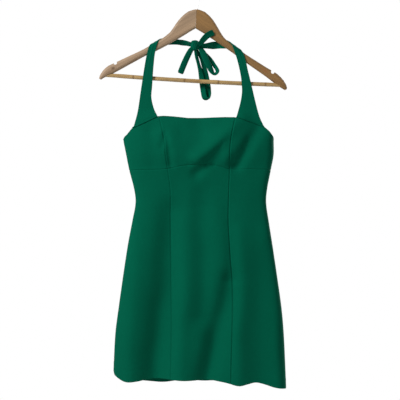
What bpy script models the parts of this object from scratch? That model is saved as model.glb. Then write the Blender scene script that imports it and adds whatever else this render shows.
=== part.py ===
"""Green halter mini dress with princess seams, tied in a bow over a wooden hanger.

X runs to the right of the picture, Y to the back, Z up. The front of the dress faces -Y.
The origin is the point inside the crest of the hook where the rail carries the hanger.
All tables are in millimetres and are turned into metres where a mesh is made.
"""

import math
from bisect import bisect_right
from collections import namedtuple

import bmesh
import bpy
from mathutils import Matrix, Vector

MM = 0.001

# Cloth
WALL = 1.6
BAND_WALL = 1.8
SEAM_GAP = 0.3
STEP = 0.01

# Hanger
HANGER_CREST = Vector((-3.3, 0.0, -69.9))
HANGER_TILT = math.radians(3.3)
ARM_HALF_DEPTH = 6.5
ARM_ROUNDING = 6.2
MITRE_GAP = 0.15
ARM_FIT = 0.4
BAR_DROP = 167.8
BAR_RADIUS = 4.8
BAR_END_RADIUS = 4.5
BAR_HALF_LENGTH = 209.0
BAR_TAPER_START = 150.0
BAR_SAG = 2.0
BAR_SAG_HALF_LENGTH = 188.0
NOTCH_RADIUS = 4.2
NOTCH_SLANT = math.radians(17.0)

# Hook
WIRE_RADIUS = 1.8
HOOK_INNER_RADIUS = 19.0
SHANK_DEPTH = 22.0
STEM_LENGTH = 20.0
STEM_LEAN = math.radians(8.6)
NECK_SWEEP = 20.0
HOLE_FIT = 0.3

# Columns and rows of the cloth panels
CENTRE_COLUMNS = 16
BACK_COLUMNS = 15
BUST_ROWS = 9
SKIRT_ROWS = 18
BACK_ROWS = 20
STRAP_ROWS = 13
ROLL_ROWS = 8

# One row for each level of the dress: its edges at the side seams and how far front and back bulge
Section = namedtuple("Section", "z left right front back")
SECTIONS = (
    Section(-964, -199.6, 207.4, 34, 30),
    Section(-922, -199.2, 206.0, 34, 30),
    Section(-834, -194.9, 201.8, 34, 29),
    Section(-773, -187.1, 196.4, 33, 28),
    Section(-695, -176.1, 185.5, 31, 26),
    Section(-624, -165.2, 174.9, 28, 22),
    Section(-568, -154.6, 166.1, 24, 18),
    Section(-527, -147.5, 160.5, 22, 16),
    Section(-497, -150.3, 162.4, 23, 16),
    Section(-449, -162.4, 171.4, 27, 15),
    Section(-414, -169.4, 177.9, 34, 15),
    Section(-377, -176.4, 178.2, 33, 14),
    Section(-342, -179.4, 181.0, 22, 13),
    Section(-308, -182.2, 183.8, 12, 12),
)

# Princess seams: the side position of each seam at a level
Seam = namedtuple("Seam", "z left right")
PRINCESS_SEAMS = (
    Seam(-964, -65.6, 76.0),
    Seam(-834, -65.2, 77.2),
    Seam(-712, -64.9, 78.6),
    Seam(-624, -64.9, 74.1),
    Seam(-563, -65.0, 71.0),
    Seam(-497, -64.4, 72.5),
    Seam(-448, -71.0, 73.9),
    Seam(-412, -75.8, 73.9),
    Seam(-378, -79.3, 76.5),
    Seam(-350, -85.0, 81.9),
    Seam(-325, -91.3, 87.3),
)

# Edges across the front and the back: the height of each at a side position
Edge = namedtuple("Edge", "x z")
UNDER_BUST = (
    Edge(-161.2, -450.6),
    Edge(-115.0, -450.0),
    Edge(-72.5, -447.7),
    Edge(-34.5, -440.2),
    Edge(-2.6, -438.3),
    Edge(30.4, -437.3),
    Edge(73.9, -448.2),
    Edge(120.0, -448.4),
    Edge(170.6, -449.6),
)
FRONT_TOP = (
    Edge(-176.4, -376.8),
    Edge(-173.2, -372.0),
    Edge(-166.9, -366.8),
    Edge(-154.4, -351.2),
    Edge(-141.0, -342.2),
    Edge(-118.5, -331.2),
    Edge(-96.0, -323.8),
    Edge(-80.5, -322.8),
    Edge(-56.2, -324.4),
    Edge(-23.8, -328.0),
    Edge(8.7, -327.6),
    Edge(63.0, -326.0),
    Edge(89.6, -326.6),
    Edge(103.6, -332.4),
    Edge(127.9, -340.3),
    Edge(149.6, -345.9),
    Edge(155.1, -349.0),
    Edge(167.3, -359.7),
    Edge(176.8, -371.8),
    Edge(178.2, -377.4),
)
BACK_TOP = (
    Edge(-176.4, -376.8),
    Edge(-90.0, -381.0),
    Edge(0.0, -384.0),
    Edge(90.0, -381.0),
    Edge(178.2, -377.4),
)
FRONT_HEM = (
    Edge(-199.0, -923.0),
    Edge(-196.0, -931.0),
    Edge(-171.0, -944.2),
    Edge(-141.0, -943.6),
    Edge(-118.0, -940.4),
    Edge(-89.0, -939.4),
    Edge(-36.0, -941.0),
    Edge(9.0, -941.2),
    Edge(40.0, -942.4),
    Edge(62.0, -945.2),
    Edge(95.0, -952.4),
    Edge(115.0, -949.2),
    Edge(135.0, -946.0),
    Edge(159.0, -952.0),
    Edge(178.0, -958.2),
    Edge(206.8, -963.2),
)
BACK_HEM = (
    Edge(-199.0, -923.0),
    Edge(-196.0, -932.0),
    Edge(-172.0, -948.0),
    Edge(-141.0, -951.0),
    Edge(-78.0, -953.6),
    Edge(-36.0, -950.6),
    Edge(40.0, -952.0),
    Edge(95.0, -960.0),
    Edge(135.0, -955.0),
    Edge(178.0, -961.0),
    Edge(206.8, -963.2),
)

# Side positions of the side panels' columns on their top edge, from the side seam to the princess seam
LEFT_COLUMNS = (-176.4, -173.2, -166.9, -160.6, -154.4, -142.4, -130.7, -119.0, -107.5, -96.0, -91.3)
RIGHT_COLUMNS = (178.2, 176.2, 171.0, 163.5, 155.1, 142.0, 129.0, 115.5, 102.5, 89.6, 87.3)
STRAP_FOOT = slice(4, 10)

# Folds: a soft ridge, or a trough where the heights are below zero, from one place to another
Fold = namedtuple("Fold", "x0 z0 x1 z1 half_width height0 height1")
FRONT_FOLDS = (
    Fold(-78, -383, -78, -383, 46, 6, 6),
    Fold(80, -383, 80, -383, 46, 6, 6),
    Fold(63, -334, -14, -424, 17, 2.5, 3.5),
    Fold(56, -379, -7, -442, 13, -4, -6),
    Fold(134, -355, 80, -437, 13, -3, -6),
    Fold(-7, -453, -7, -453, 13, -4, -4),
    Fold(-170, -612, -178, -992, 16, 1, 4),
    Fold(-116, -572, -122, -992, 24, 0, -9),
    Fold(-58, -612, -52, -992, 20, 0, 5),
    Fold(-3, -532, -4, -752, 19, -2, -5),
    Fold(66, -672, 2, -992, 18, -3, -8),
    Fold(50, -832, 44, -992, 14, 1, 5),
    Fold(88, -632, 96, -992, 18, 1, 8),
    Fold(127, -602, 129, -992, 16, 0, -9),
    Fold(160, -652, 172, -992, 16, 1, 6),
)
BACK_FOLDS = (
    Fold(-140, -612, -146, -992, 20, 0, 6),
    Fold(-96, -552, -88, -992, 19, 0, -8),
    Fold(-40, -652, -36, -992, 20, 1, 6),
    Fold(8, -572, 14, -992, 17, 0, -7),
    Fold(62, -622, 56, -992, 19, 1, 7),
    Fold(104, -592, 112, -992, 18, 0, -8),
    Fold(152, -652, 160, -992, 16, 1, 5),
    Fold(-30, -404, 40, -432, 18, -3, -2),
)

# Straps: the side position of the outer and inner edge at a level
StrapRow = namedtuple("StrapRow", "z outer inner")
LEFT_STRAP = (
    StrapRow(-352.0, -152.0, -88.0),
    StrapRow(-324.0, -144.5, -95.2),
    StrapRow(-308.0, -141.2, -102.9),
    StrapRow(-289.1, -138.3, -108.3),
    StrapRow(-275.0, -136.3, -109.9),
    StrapRow(-253.0, -133.2, -108.0),
    StrapRow(-229.0, -129.5, -106.6),
    StrapRow(-202.5, -125.4, -104.5),
    StrapRow(-178.5, -120.9, -101.9),
    StrapRow(-159.3, -116.2, -97.6),
    StrapRow(-137.0, -110.4, -91.4),
)
RIGHT_STRAP = (
    StrapRow(-352.0, 156.0, 82.0),
    StrapRow(-328.0, 145.2, 89.0),
    StrapRow(-309.2, 139.8, 94.6),
    StrapRow(-286.8, 134.2, 100.4),
    StrapRow(-265.5, 129.2, 103.2),
    StrapRow(-248.3, 125.2, 102.6),
    StrapRow(-232.5, 121.4, 101.0),
    StrapRow(-214.6, 117.0, 97.8),
    StrapRow(-195.2, 112.9, 93.1),
    StrapRow(-182.0, 109.0, 89.3),
    StrapRow(-168.8, 104.4, 84.6),
    StrapRow(-152.0, 99.2, 79.4),
)

# Ties behind the hanger arms: centre, direction of the line across the tie and its length
TieRow = namedtuple("TieRow", "x y z across width")
LEFT_TIE = (
    TieRow(-75, 8.70, -146.6, 47, 18.5),
    TieRow(-59, 8.70, -146.0, 66, 14.0),
    TieRow(-44, 8.40, -146.2, 82, 12.0),
    TieRow(-30, 7.00, -147.8, 90, 10.0),
    TieRow(-19, 5.80, -150.8, 92, 9.0),
    TieRow(-9, 5.00, -154.0, 92, 7.5),
)
RIGHT_TIE = (
    TieRow(57, 8.70, -153.0, 124, 21.0),
    TieRow(45, 8.70, -152.8, 106, 16.5),
    TieRow(33, 8.50, -153.2, 93, 14.0),
    TieRow(18, 7.40, -154.6, 90, 10.0),
    TieRow(7, 6.40, -155.6, 90, 8.5),
    TieRow(-3, 5.60, -156.4, 90, 7.0),
)

# Bow: centre of the band, its turn about its own length (0 faces the front) and its width
BandRow = namedtuple("BandRow", "x y z turn width")
LOOP_LONG = (
    BandRow(-6.0, 3.0, -161.0, -30, 6.5),
    BandRow(-5.8, 4.0, -170.0, -48, 8.5),
    BandRow(-3.6, 5.5, -182.0, -58, 12.5),
    BandRow(1.0, 8.0, -199.0, -58, 13.5),
    BandRow(5.2, 11.0, -216.0, -48, 14.0),
    BandRow(7.6, 12.6, -232.0, -40, 14.0),
    BandRow(10.0, 12.8, -248.5, -36, 14.0),
    BandRow(13.0, 12.4, -265.5, -38, 14.0),
    BandRow(16.8, 14.4, -277.5, -52, 13.5),
    BandRow(21.2, 19.0, -281.3, -90, 13.5),
    BandRow(25.2, 23.4, -274.5, -128, 13.5),
    BandRow(25.4, 24.4, -262.0, -140, 14.0),
    BandRow(24.0, 23.6, -247.5, -142, 14.0),
    BandRow(20.2, 21.4, -228.0, -144, 13.5),
    BandRow(14.5, 18.4, -207.0, -148, 12.5),
    BandRow(7.0, 14.6, -185.0, -155, 10.5),
    BandRow(0.0, 11.6, -171.5, -162, 7.5),
    BandRow(-4.0, 9.0, -162.0, -165, 6.0),
)
LOOP_SHORT = (
    BandRow(-1.0, 0.0, -158.0, 8, 7.5),
    BandRow(5.0, -1.2, -165.2, 8, 10.5),
    BandRow(11.4, -2.2, -174.0, 10, 13.0),
    BandRow(17.8, -2.8, -187.0, 14, 14.5),
    BandRow(24.0, -3.0, -200.0, 18, 14.5),
    BandRow(30.0, -2.8, -212.8, 30, 14.5),
    BandRow(35.4, -1.6, -221.8, 55, 13.5),
    BandRow(42.0, 1.2, -223.4, 72, 13.0),
    BandRow(47.2, 3.6, -217.6, 84, 13.0),
    BandRow(45.4, 5.4, -210.0, 100, 13.0),
    BandRow(38.6, 6.4, -201.0, 112, 12.5),
    BandRow(30.0, 7.2, -190.0, 120, 11.5),
    BandRow(21.5, 8.0, -179.5, 128, 9.5),
    BandRow(13.0, 8.2, -170.0, 136, 7.0),
    BandRow(3.0, 6.6, -163.5, 140, 5.0),
)
END_LOW = (
    BandRow(-11.0, -0.5, -159.5, -4, 9.0),
    BandRow(-18.2, -2.2, -169.0, -6, 12.5),
    BandRow(-25.0, -3.6, -183.0, -10, 13.5),
    BandRow(-32.0, -4.2, -199.5, -12, 14.0),
    BandRow(-41.0, -4.4, -222.5, -12, 13.8),
)
END_HIGH = (
    BandRow(-1.0, -2.5, -155.0, 176, 7.5),
    BandRow(6.4, -5.2, -149.6, 176, 11.2),
    BandRow(14.6, -8.8, -142.6, 178, 13.4),
    BandRow(23.6, -10.2, -134.0, 180, 14.0),
    BandRow(35.6, -10.2, -123.4, 180, 14.0),
)
KNOT_CENTRE = Vector((-7.0, 3.0, -155.6))
KNOT_HALF_SIZE = Vector((11.6, 8.6, 12.8))

# Hanger arms seen from the front, outward from the mitre: top and low point of each section, half depth
ArmSection = namedtuple("ArmSection", "top_x top_z low_x low_z half_depth")
LEFT_ARM = (
    ArmSection(0.0, 0.0, 0.0, -45.8, 6.5),
    ArmSection(19.2, -6.5, 10.0, -52.2, 6.5),
    ArmSection(35.7, -21.7, 21.0, -60.0, 6.5),
    ArmSection(47.4, -38.2, 34.0, -69.0, 6.5),
    ArmSection(59.5, -58.0, 48.0, -78.5, 6.5),
    ArmSection(80.0, -76.0, 68.0, -91.3, 6.5),
    ArmSection(101.0, -89.6, 91.0, -105.0, 6.5),
    ArmSection(122.0, -103.2, 112.5, -116.0, 6.5),
    ArmSection(150.4, -118.5, 141.0, -133.7, 6.5),
    ArmSection(178.0, -133.5, 167.0, -150.0, 6.5),
    ArmSection(201.0, -146.0, 187.0, -162.4, 6.5),
    ArmSection(213.0, -158.6, 201.0, -170.0, 6.3),
    ArmSection(219.3, -170.6, 210.5, -175.2, 5.2),
    ArmSection(220.2, -177.2, 215.5, -179.0, 3.2),
)
RIGHT_ARM = (
    ArmSection(0.0, 0.0, 0.0, -45.8, 6.5),
    ArmSection(20.4, -5.8, 10.0, -51.0, 6.5),
    ArmSection(40.4, -23.6, 22.5, -57.5, 6.5),
    ArmSection(54.2, -43.4, 37.0, -66.3, 6.5),
    ArmSection(67.0, -61.8, 51.0, -74.5, 6.5),
    ArmSection(80.0, -73.2, 68.5, -84.9, 6.5),
    ArmSection(101.0, -86.6, 91.5, -98.9, 6.5),
    ArmSection(122.0, -100.0, 113.0, -113.0, 6.5),
    ArmSection(147.5, -114.4, 140.0, -130.0, 6.5),
    ArmSection(174.5, -129.2, 167.0, -146.5, 6.5),
    ArmSection(199.0, -142.0, 187.5, -160.2, 6.5),
    ArmSection(214.8, -156.5, 201.5, -169.5, 6.3),
    ArmSection(222.4, -168.6, 212.5, -175.9, 5.2),
    ArmSection(223.4, -176.0, 218.5, -179.0, 3.2),
)
STRAIGHT_START = 5
STRAIGHT_END = 7

# Notches in the arms: side position and height of the middle of the rounded bottom
Notch = namedtuple("Notch", "x z")
LEFT_NOTCH = Notch(184.2, -138.6)
RIGHT_NOTCH = Notch(187.4, -138.6)

# Bar: its swellings, as on a peeled cane, at places along its length
Knuckle = namedtuple("Knuckle", "x swell")
KNUCKLES = (
    Knuckle(-168, 0.35),
    Knuckle(-96, 0.5),
    Knuckle(-31, 0.4),
    Knuckle(52, 0.5),
    Knuckle(118, 0.35),
    Knuckle(176, 0.4),
)
KNUCKLE_HALF_WIDTH = 7.0
BAR_POINTS = 27

# Colours as seen, in parts of 255
GREEN = (2, 84, 62)
WOOD_LEFT = (150, 124, 98)
WOOD_RIGHT = (130, 100, 62)
WOOD_BAR = (158, 136, 95)
METAL = (190, 188, 186)


def remove_old_objects():
    for old in list(bpy.data.objects):
        bpy.data.objects.remove(old, do_unlink=True)


def new_collection(name):
    collection = bpy.data.collections.new(name)
    bpy.context.scene.collection.children.link(collection)
    return collection


def linear(channel):
    share = channel / 255
    return share / 12.92 if share <= 0.04045 else ((share + 0.055) / 1.055) ** 2.4


def new_material(name, colour, roughness, metallic=0.0):
    material = bpy.data.materials.new(name)
    material.use_nodes = True
    shader = material.node_tree.nodes["Principled BSDF"]
    shader.inputs["Base Color"].default_value = (*[linear(channel) for channel in colour], 1.0)
    shader.inputs["Roughness"].default_value = roughness
    shader.inputs["Metallic"].default_value = metallic
    return material


def new_object(name, mesh, collection, material=None, parent=None):
    piece = bpy.data.objects.new(name, mesh)
    collection.objects.link(piece)
    if material:
        mesh.materials.append(material)
    piece.parent = parent
    return piece


def mesh_from(bm, name, sharp_angle=40):
    bmesh.ops.recalc_face_normals(bm, faces=bm.faces)
    mesh = bpy.data.meshes.new(name)
    bm.to_mesh(mesh)
    bm.free()
    mesh.shade_smooth()
    mesh.set_sharp_from_angle(angle=math.radians(sharp_angle))
    return mesh


def make_cutter(piece):
    piece.hide_render = True
    piece.display_type = "WIRE"
    return piece


def cut(piece, cutter):
    boolean = piece.modifiers.new("cut by " + cutter.name, "BOOLEAN")
    boolean.operation = "DIFFERENCE"
    boolean.object = cutter


def blend(low, high, share):
    return low + (high - low) * share


def ease(share):
    share = min(max(share, 0.0), 1.0)
    return share * share * (3 - 2 * share)


def hermite(start, end, start_slope, end_slope, share):
    """Value between two values, leaving and arriving with the slopes given per step."""
    square = share * share
    cube = square * share
    return (
        start * (2 * cube - 3 * square + 1)
        + start_slope * (cube - 2 * square + share)
        + end * (3 * square - 2 * cube)
        + end_slope * (cube - square)
    )


def curve(rows, key, column):
    """Function that reads one column of a table where its key column has a given value, smoothly."""
    ordered = sorted(rows, key=lambda row: getattr(row, key))
    keys = [getattr(row, key) for row in ordered]
    values = [getattr(row, column) for row in ordered]
    last = len(keys) - 1
    slopes = []
    for i in range(last + 1):
        before = max(i - 1, 0)
        after = min(i + 1, last)
        slopes.append((values[after] - values[before]) / (keys[after] - keys[before]))

    def read(at):
        at = min(max(at, keys[0]), keys[-1])
        i = min(bisect_right(keys, at) - 1, last - 1)
        step = keys[i + 1] - keys[i]
        share = (at - keys[i]) / step
        return hermite(values[i], values[i + 1], slopes[i] * step, slopes[i + 1] * step, share)

    return read


def polyline(rows):
    """Function that reads the height of an edge at a side position, straight from row to row."""
    xs = [row.x for row in rows]

    def read(at):
        at = min(max(at, xs[0]), xs[-1])
        i = min(bisect_right(xs, at) - 1, len(xs) - 2)
        return blend(rows[i].z, rows[i + 1].z, (at - xs[i]) / (xs[i + 1] - xs[i]))

    return read


def smooth_rows(rows, steps):
    """The rows of a table with more rows between them, on a smooth curve through them all."""
    last = len(rows) - 1
    result = []
    for i in range(last):
        before = rows[max(i - 1, 0)]
        after = rows[min(i + 2, last)]
        for step in range(steps):
            values = []
            for v0, v1, v2, v3 in zip(before, rows[i], rows[i + 1], after):
                values.append(hermite(v1, v2, (v2 - v0) / 2, (v3 - v1) / 2, step / steps))
            result.append(type(rows[i])(*values))
    result.append(rows[last])
    return result


left_edge = curve(SECTIONS, "z", "left")
right_edge = curve(SECTIONS, "z", "right")
front_depth = curve(SECTIONS, "z", "front")
back_depth = curve(SECTIONS, "z", "back")
left_princess = curve(PRINCESS_SEAMS, "z", "left")
right_princess = curve(PRINCESS_SEAMS, "z", "right")
under_bust = curve(UNDER_BUST, "x", "z")
front_top = polyline(FRONT_TOP)
back_top = curve(BACK_TOP, "x", "z")
front_hem = curve(FRONT_HEM, "x", "z")
back_hem = curve(BACK_HEM, "x", "z")


def fold_height(folds, x, z):
    """How far the folds lift the cloth at a place."""
    lift = 0.0
    for fold in folds:
        along_x = fold.x1 - fold.x0
        along_z = fold.z1 - fold.z0
        length_squared = along_x**2 + along_z**2
        share = 0.0
        if length_squared:
            share = ((x - fold.x0) * along_x + (z - fold.z0) * along_z) / length_squared
            share = min(max(share, 0.0), 1.0)
        away = math.hypot(x - fold.x0 - share * along_x, z - fold.z0 - share * along_z)
        height = blend(fold.height0, fold.height1, share)
        lift += height * math.exp(-((away / fold.half_width) ** 2))
    return lift


def ring_point(angle, z):
    """Point on the outside of the dress: angle 0 is the right side seam, 90 the front, 180 the left."""
    centre = (left_edge(z) + right_edge(z)) / 2
    half = (right_edge(z) - left_edge(z)) / 2
    x = centre + half * math.cos(angle)
    rise = math.sin(angle)
    if rise >= 0:
        depth = front_depth(z) + fold_height(FRONT_FOLDS, x, z)
    else:
        depth = back_depth(z) + fold_height(BACK_FOLDS, x, z)
    return Vector((x, -depth * rise, z))


def ring_normal(angle, z):
    around = ring_point(angle + STEP, z) - ring_point(angle - STEP, z)
    upward = ring_point(angle, z + 1) - ring_point(angle, z - 1)
    return upward.cross(around).normalized()


def angle_at(x, z):
    """Angle of the front of the ring at a side position."""
    centre = (left_edge(z) + right_edge(z)) / 2
    half = (right_edge(z) - left_edge(z)) / 2
    return math.acos(min(max((x - centre) / half, -1.0), 1.0))


def left_princess_angle(z):
    return angle_at(left_princess(z), z)


def right_princess_angle(z):
    return angle_at(right_princess(z), z)


def right_side_angle(z):
    return 0.0


def left_side_angle(z):
    return math.pi


def centre_back_angle(z):
    return 1.5 * math.pi


def full_turn_angle(z):
    return 2 * math.pi


def even_shares(count):
    return [step / count for step in range(count + 1)]


def top_edge_shares(column_xs, side_angle, princess_angle):
    """Shares of the angle from side seam to princess seam that put the columns where the table says."""
    shares = []
    for x in column_xs:
        z = front_top(x)
        start = side_angle(z)
        shares.append((angle_at(x, z) - start) / (princess_angle(z) - start))
    shares[0] = 0.0
    shares[-1] = 1.0
    return shares


def panel_grid(first, last, top, bottom, shares, rows):
    """Angles and heights of a panel's points, from its bottom row to its top row."""
    grid = []
    for row in range(rows + 1):
        upward = row / rows
        line = []
        for share in shares:
            z = (top(0.0) + bottom(0.0)) / 2
            for _ in range(12):
                angle = blend(first(z), last(z), share)
                x = ring_point(angle, z).x
                z = blend(bottom(x) + SEAM_GAP / 2, top(x) - SEAM_GAP / 2, upward)
            run = (ring_point(angle + STEP, z) - ring_point(angle - STEP, z)).length / (2 * STEP)
            pull = SEAM_GAP / 2 / run
            if share == 0.0:
                angle += math.copysign(pull, last(z) - first(z))
            elif share == 1.0:
                angle -= math.copysign(pull, last(z) - first(z))
            line.append((angle, z))
        grid.append(line)
    return grid


def cloth_solid(name, outer, inner, collection, material):
    """Closed wall between an outer and an inner grid of points, each given row by row."""
    bm = bmesh.new()
    layers = [[[bm.verts.new(point * MM) for point in line] for line in grid] for grid in (outer, inner)]
    rows = len(outer) - 1
    columns = len(outer[0]) - 1
    for layer in layers:
        for r in range(rows):
            for c in range(columns):
                corners = (layer[r][c], layer[r][c + 1], layer[r + 1][c + 1], layer[r + 1][c])
                bm.faces.new(corners if layer is layers[0] else corners[::-1])
    front, back = layers
    rim = [(0, c) for c in range(columns)]
    rim += [(r, columns) for r in range(rows)]
    rim += [(rows, c) for c in range(columns, 0, -1)]
    rim += [(r, 0) for r in range(rows, 0, -1)]
    for (r0, c0), (r1, c1) in zip(rim, rim[1:] + rim[:1]):
        bm.faces.new((front[r1][c1], front[r0][c0], back[r0][c0], back[r1][c1]))
    return new_object(name, mesh_from(bm, name), collection, material)


def add_panel(name, grid, collection, material):
    outer = [[ring_point(angle, z) for angle, z in line] for line in grid]
    inner = []
    for line in grid:
        inner.append([ring_point(angle, z) - ring_normal(angle, z) * WALL for angle, z in line])
    return cloth_solid(name, outer, inner, collection, material)


def add_dress_body(collection, cloth):
    left = top_edge_shares(LEFT_COLUMNS, left_side_angle, left_princess_angle)
    right = top_edge_shares(RIGHT_COLUMNS, right_side_angle, right_princess_angle)
    centre = even_shares(CENTRE_COLUMNS)
    back = even_shares(BACK_COLUMNS)
    fronts = (
        ("left", left_side_angle, left_princess_angle, left),
        ("centre", left_princess_angle, right_princess_angle, centre),
        ("right", right_side_angle, right_princess_angle, right),
    )
    for side, first, last, shares in fronts:
        bust_name = "bust_centre" if side == "centre" else "bust_side_" + side
        bust = panel_grid(first, last, front_top, under_bust, shares, BUST_ROWS)
        add_panel(bust_name, bust, collection, cloth)
        skirt = panel_grid(first, last, under_bust, front_hem, shares, SKIRT_ROWS)
        add_panel("skirt_front_" + side, skirt, collection, cloth)
    backs = (
        ("left", left_side_angle, centre_back_angle),
        ("right", centre_back_angle, full_turn_angle),
    )
    for side, first, last in backs:
        grid = panel_grid(first, last, back_top, back_hem, back, BACK_ROWS)
        add_panel("back_" + side, grid, collection, cloth)


def hanger_to_world(x, z):
    turn = Matrix.Rotation(HANGER_TILT, 3, "Y")
    return HANGER_CREST + turn @ Vector((x, 0.0, z))


def grid_normals(grid, towards_front):
    """Unit normals of a grid of points, on the side that faces the front in its first row."""
    rows = len(grid) - 1
    columns = len(grid[0]) - 1
    normals = []
    for r in range(rows + 1):
        line = []
        for c in range(columns + 1):
            along = grid[min(r + 1, rows)][c] - grid[max(r - 1, 0)][c]
            across = grid[r][min(c + 1, columns)] - grid[r][max(c - 1, 0)]
            normal = along.cross(across).normalized()
            line.append(normal * towards_front)
        normals.append(line)
    return normals


def strap_front_line(outer_edge, inner_edge, height, slope, count):
    """Points across the strap on a slanting line through its centre at a height."""
    middle = (outer_edge(height) + inner_edge(height)) / 2
    ends = []
    for edge in (outer_edge, inner_edge):
        x = edge(height)
        for _ in range(8):
            z = height + (x - middle) * slope
            x = edge(z)
        ends.append(Vector((x, 0.0, z)))
    return [ends[0].lerp(ends[1], step / count) for step in range(count + 1)]


def add_strap(side, foot_xs, strap_rows, tie_rows, arm_sections, collection, cloth):
    """Strap from its foot on the bust panel, up in front of the arm, over it and on to the knot."""
    sign = -1 if side == "left" else 1
    outer_edge = curve(strap_rows, "z", "outer")
    inner_edge = curve(strap_rows, "z", "inner")
    count = len(foot_xs) - 1

    # The arm's straight stretch, whose top edge the strap is rolled over
    low_end = hanger_to_world(sign * arm_sections[STRAIGHT_END].top_x, arm_sections[STRAIGHT_END].top_z)
    high_end = hanger_to_world(sign * arm_sections[STRAIGHT_START].top_x, arm_sections[STRAIGHT_START].top_z)
    axis = (high_end - low_end).normalized()
    upward = Vector((-axis.z, 0.0, axis.x)) if axis.x > 0 else Vector((axis.z, 0.0, -axis.x))
    arm_slope = axis.z / axis.x
    roll_radius = ARM_HALF_DEPTH + ARM_FIT + BAND_WALL
    arm_tops = [hanger_to_world(sign * row.top_x, row.top_z) for row in smooth_rows(arm_sections, 2)]
    arm_top = polyline(sorted(arm_tops, key=lambda point: point.x))

    # The foot follows the top edge of the bust panel
    foot = [Vector((x, 0.0, front_top(x) + SEAM_GAP / 2)) for x in foot_xs]
    foot_slope = (foot[-1].z - foot[0].z) / (foot[-1].x - foot[0].x)
    foot_height = (foot[0].z + foot[-1].z) / 2
    grid = [[Vector((p.x, ring_point(angle_at(p.x, p.z), p.z).y, p.z)) for p in foot]]

    # Height on the strap's centre line where the rounding of the arm begins
    roll_height = HANGER_CREST.z - 90
    for _ in range(20):
        middle = (outer_edge(roll_height) + inner_edge(roll_height)) / 2
        above = (Vector((middle, 0.0, roll_height)) - high_end).dot(upward)
        roll_height -= above + ARM_HALF_DEPTH

    for row in range(1, STRAP_ROWS + 1):
        share = row / STRAP_ROWS
        height = blend(foot_height, roll_height, share)
        slope = blend(foot_slope, arm_slope, ease(share * 1.6))
        line = strap_front_line(outer_edge, inner_edge, height, slope, count)
        for point in line:
            on_dress = ring_point(angle_at(point.x, point.z), point.z).y
            point.y = blend(on_dress, -roll_radius, ease(share * 1.3))
        grid.append(line)

    # Over the arm: the strap keeps its slant while it is rolled half a turn, and is lifted where the arm rises
    lower = strap_front_line(outer_edge, inner_edge, roll_height - 10, arm_slope, count)
    heading = (grid[-1][count // 2] - lower[count // 2]).normalized()
    heading.y = 0.0
    slant = heading.dot(axis) / heading.dot(upward)
    start = [point.copy() for point in grid[-1]]
    for row in range(1, ROLL_ROWS + 1):
        turn = math.pi * row / ROLL_ROWS
        line = []
        for point in start:
            moved = point + axis * (roll_radius * turn * slant) + upward * (roll_radius * math.sin(turn))
            moved.y = -roll_radius * math.cos(turn)
            moved.z += max(arm_top(moved.x) - low_end.z - (moved.x - low_end.x) * arm_slope, 0.0)
            line.append(moved)
        grid.append(line)

    # Behind the arm and on to the knot
    ends = (grid[-1][0], grid[-1][-1])
    centre = (ends[0] + ends[1]) / 2
    reach = ends[1] - ends[0]
    across = math.degrees(math.atan2(reach.z, reach.x))
    rows = (TieRow(centre.x, centre.y, centre.z, across, reach.length), *tie_rows)
    for row in smooth_rows(rows, 2)[1:]:
        direction = Vector((math.cos(math.radians(row.across)), 0.0, math.sin(math.radians(row.across))))
        middle = Vector((row.x, row.y, row.z))
        line = [middle + direction * row.width * (step / count - 0.5) for step in range(count + 1)]
        grid.append(line)

    normals = grid_normals(grid, sign)
    inner = []
    for line, directions in zip(grid, normals):
        inner.append([point - normal * BAND_WALL for point, normal in zip(line, directions)])
    return cloth_solid("strap_" + side, grid, inner, collection, cloth)


def add_band(name, rows, collection, cloth):
    """Flat band of cloth along a smooth path, with a turn and a width for each row."""
    rows = smooth_rows(rows, 3)
    places = [Vector((row.x, row.y, row.z)) for row in rows]
    last = len(rows) - 1
    outer = []
    inner = []
    for i, row in enumerate(rows):
        along = (places[min(i + 1, last)] - places[max(i - 1, 0)]).normalized()
        level = along.cross(Vector((0, 1, 0))).normalized()
        depth = level.cross(along)
        turn = math.radians(row.turn)
        across = level * math.cos(turn) + depth * math.sin(turn)
        facing = across.cross(along)
        ends = (places[i] - across * row.width / 2, places[i] + across * row.width / 2)
        outer.append([end + facing * BAND_WALL / 2 for end in ends])
        inner.append([end - facing * BAND_WALL / 2 for end in ends])
    return cloth_solid(name, outer, inner, collection, cloth)


def ellipsoid_mesh(name, half_size):
    bm = bmesh.new()
    bmesh.ops.create_uvsphere(bm, u_segments=18, v_segments=12, radius=1.0)
    bmesh.ops.scale(bm, vec=half_size * MM, verts=bm.verts)
    return mesh_from(bm, name)


def add_bow(collection, cutters, cloth, straps):
    """Knot, loops and ends of the tie. Every band is cut where it meets the knot."""
    knot = new_object("bow_knot", ellipsoid_mesh("bow_knot", KNOT_HALF_SIZE), collection, cloth)
    knot.location = KNOT_CENTRE * MM
    clearance = Vector((SEAM_GAP, SEAM_GAP, SEAM_GAP))
    seat = new_object("knot_seat", ellipsoid_mesh("knot_seat", KNOT_HALF_SIZE + clearance), cutters)
    seat.location = KNOT_CENTRE * MM
    make_cutter(seat)
    bands = (
        ("bow_loop_long", LOOP_LONG),
        ("bow_loop_short", LOOP_SHORT),
        ("bow_end_low", END_LOW),
        ("bow_end_high", END_HIGH),
    )
    for name, rows in bands:
        cut(add_band(name, rows, collection, cloth), seat)
    for strap in straps:
        cut(strap, seat)


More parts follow.
